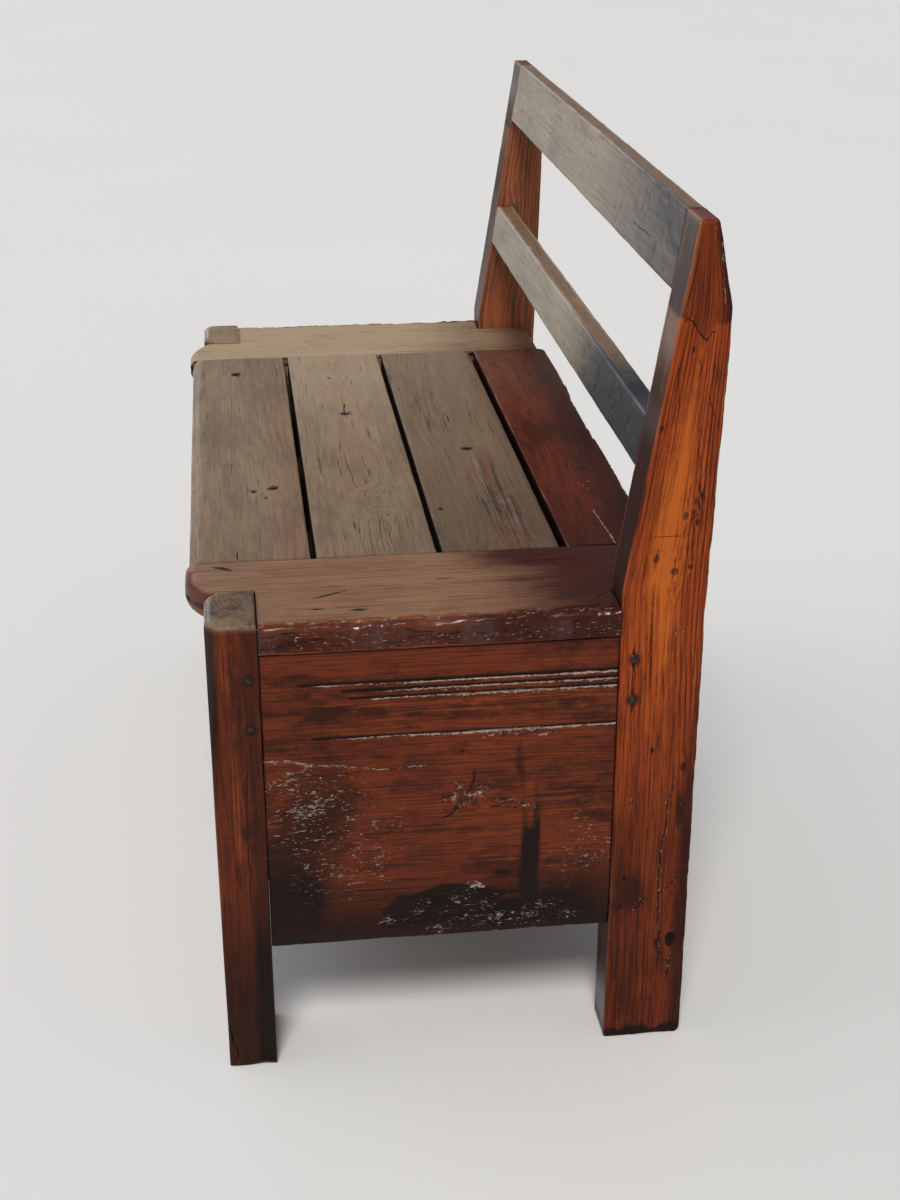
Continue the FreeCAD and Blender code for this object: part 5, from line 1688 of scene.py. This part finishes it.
class SETTLE_OT_pegs(bpy.types.Operator):
    """Make the whittled pegs that pin the joints"""

    bl_idname = "settle.pegs"
    bl_label = "Pegs"

    def execute(self, context):
        sink = context.scene.settle_sizes.peg_depth / MM
        leg_low, leg_high = box_mm("front_leg_right")
        inward = 11.0
        front_x, back_x = leg_low[0] + inward, box_mm("rear_post_right")[0][0] + inward
        waist = BACK_EDGES[1]
        groups = {"leg_pegs": [], "post_pegs": [], "rail_pegs": []}
        for _, side in SIDES:
            face, leg_y = side * leg_high[0], leg_low[1] + LEG_PEG_BACK
            for z in LEG_PEG_HEIGHTS:
                groups["leg_pegs"].append((0, side, (face, leg_y, z), *BOX_PEG))
            for z in BOARD_PEG_HEIGHTS:
                groups["leg_pegs"].append((1, -1.0, (side * front_x, leg_low[1], z), *BOX_PEG))
            for z in POST_PEG_HEIGHTS:
                groups["post_pegs"].append((0, side, (face, POST_PEG_Y, z), *BOX_PEG))
            for z in BOARD_PEG_HEIGHTS:
                groups["post_pegs"].append((1, 1.0, (side * back_x, waist, z), *BOX_PEG))
            for z in RAIL_PEG_HEIGHTS:
                front = float(np.interp(z, RAKE_HEIGHTS, RAKE_FRONTS))
                groups["rail_pegs"].append((1, -1.0, (side * (back_x + 1.0), front, z), *RAIL_PEG))
        for name, pegs in groups.items():
            self.make(context, name, pegs, sink)
        return {"FINISHED"}

    def make(self, context, name, pegs, sink):
        """All of one node's pegs as one mesh. Each peg is an axis, the way it faces along it, the
        middle of its hole's mouth, a radius and a length."""
        places, quads, fans, fields, count = [], [], [], [], 0
        for number, (axis, way, head, radius, length) in enumerate(pegs):
            profile = [
                (0.0, 0.0), (0.0, radius * 0.45), (0.25, radius * 0.8), (0.9, radius * 0.96),
                (2.4, radius), (length - 1.0, radius), (length, radius * 0.9), (length, 0.0),
            ]
            profile = [(-(along + sink) * way, size) for along, size in profile]
            peg, quad, fan = lathe(profile, np.array(head), axis, seed=number + 5)
            places.append(peg)
            quads.append(quad + count)
            fans.append(fan + count)
            local = peg - np.array(head)
            turned = [local[:, (axis + turn) % 3] for turn in range(3)]
            turned[0] = turned[0] + PEGS_APART * number
            fields.append(np.stack(turned, -1))
            count += len(peg)
        grain = np.concatenate(fields) * MM
        zero = np.zeros(count)
        marks = {
            "grain": tuple(grain.T),
            "marks": (zero + 0.1, zero + 0.3, zero),
            "figure": (zero + FAR_FROM_KNOT, zero, zero + 0.8),
        }
        material = wood_material(context, "peg_wood")
        faces = [np.concatenate(quads), np.concatenate(fans)]
        places = np.concatenate(places)
        add_piece(name + "_wood", places, faces, marks, "frame", [name], material)


class SETTLE_OT_ironwork(bpy.types.Operator):
    """Give the nails, screws and pivot pins their iron"""

    bl_idname = "settle.ironwork"
    bl_label = "Ironwork"

    def execute(self, context):
        for node in ("chest_nails", "bearer_screws", "lid_batten_nails", "lid_pivot_pins"):
            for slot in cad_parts[node].material_slots:
                slot.material = iron_material()
        return {"FINISHED"}


def soft_light(name, towards, strength, spread, colour):
    """A distant light of even strength, which looks spread degrees wide from the bench."""
    lamp = bpy.data.lights.new(name, "SUN")
    lamp.energy = strength
    lamp.angle = math.radians(spread)
    lamp.color = colour
    light = bpy.data.objects.new(name, lamp)
    light.rotation_euler = Vector(towards).to_track_quat("Z", "Y").to_euler()
    bpy.context.scene.collection.objects.link(light)


class SETTLE_OT_studio(bpy.types.Operator):
    """Set up the floor, the lamps, the room light and the camera"""

    bl_idname = "settle.studio"
    bl_label = "Studio"

    def execute(self, context):
        scene = context.scene
        studio = scene.settle_studio
        reach = 30.0
        mesh = bpy.data.meshes.new("studio_floor")
        corners = rectangle(-reach, reach, -reach, reach)
        mesh.from_pydata([(x, y, 0.0) for x, y in corners], [], [(0, 1, 2, 3)])
        mesh.materials.append(floor_material(studio.floor))
        floor = bpy.data.objects.new("studio_floor", mesh)
        scene.collection.objects.link(floor)

        soft_light("overhead_light", (0.60, -0.12, 0.80), studio.overhead, 18.0, (1.0, 0.975, 0.94))
        soft_light("window_light", (-0.93, -0.25, 0.30), studio.window, 25.0, (0.7, 0.83, 1.0))
        soft_light("front_light", (-0.25, -0.85, 0.45), studio.front, 60.0, (0.97, 0.98, 1.0))

        world = bpy.data.worlds.new("studio_room")
        world.use_nodes = True
        background = world.node_tree.nodes["Background"]
        background.inputs["Color"].default_value = (0.93, 0.95, 1.0, 1.0)
        background.inputs["Strength"].default_value = studio.sky
        scene.world = world

        data = bpy.data.cameras.new("photo_camera")
        data.lens = studio.lens
        data.sensor_width = 36.0
        data.clip_end = 100.0
        camera = bpy.data.objects.new("photo_camera", data)
        scene.collection.objects.link(camera)
        camera.location = studio.camera_place
        camera.rotation_euler = studio.camera_turn
        scene.camera = camera
        scene.view_settings.view_transform = "Standard"
        return {"FINISHED"}


MAKERS = (
    SETTLE_OT_front_legs, SETTLE_OT_rear_posts, SETTLE_OT_end_panels, SETTLE_OT_front_board,
    SETTLE_OT_back_board, SETTLE_OT_floor, SETTLE_OT_seat_bearers, SETTLE_OT_seat_end_boards,
    SETTLE_OT_seat_rear_board, SETTLE_OT_lid_planks, SETTLE_OT_lid_battens, SETTLE_OT_back_rails,
    SETTLE_OT_pegs, SETTLE_OT_ironwork, SETTLE_OT_studio,
)


class SETTLE_PT_panel(bpy.types.Panel):
    """The settle's operators and settings in the 3D view's sidebar"""

    bl_idname = "SETTLE_PT_panel"
    bl_label = "Pine box settle"
    bl_space_type = "VIEW_3D"
    bl_region_type = "UI"
    bl_category = "Settle"

    def draw(self, context):
        layout = self.layout
        for maker in MAKERS:
            layout.operator(maker.bl_idname)
        for group in (context.scene.settle_sizes, context.scene.settle_studio):
            column = layout.column()
            for key in group.__annotations__:
                column.prop(group, key)
        for slot in FINISHES:
            column = layout.column()
            column.label(text=slot.replace("_", " ").capitalize())
            finish = getattr(context.scene.settle_finishes, slot)
            for key in finish.__annotations__:
                column.prop(finish, key)


CLASSES = (*FINISH_GROUPS.values(), SettleFinishes, SettleSizes, SettleStudio, *MAKERS, SETTLE_PT_panel)


def register():
    for cls in CLASSES:
        bpy.utils.register_class(cls)
    bpy.types.Scene.settle_finishes = PointerProperty(type=SettleFinishes)
    bpy.types.Scene.settle_sizes = PointerProperty(type=SettleSizes)
    bpy.types.Scene.settle_studio = PointerProperty(type=SettleStudio)


def unregister():
    del bpy.types.Scene.settle_studio
    del bpy.types.Scene.settle_sizes
    del bpy.types.Scene.settle_finishes
    for cls in reversed(CLASSES):
        bpy.utils.unregister_class(cls)


def main():
    """Registers the add-on, makes every piece and the studio, and writes the sizes."""
    register()
    for maker in MAKERS:
        group, name = maker.bl_idname.split(".")
        getattr(getattr(bpy.ops, group), name)()


if __name__ == "__main__":
    main()
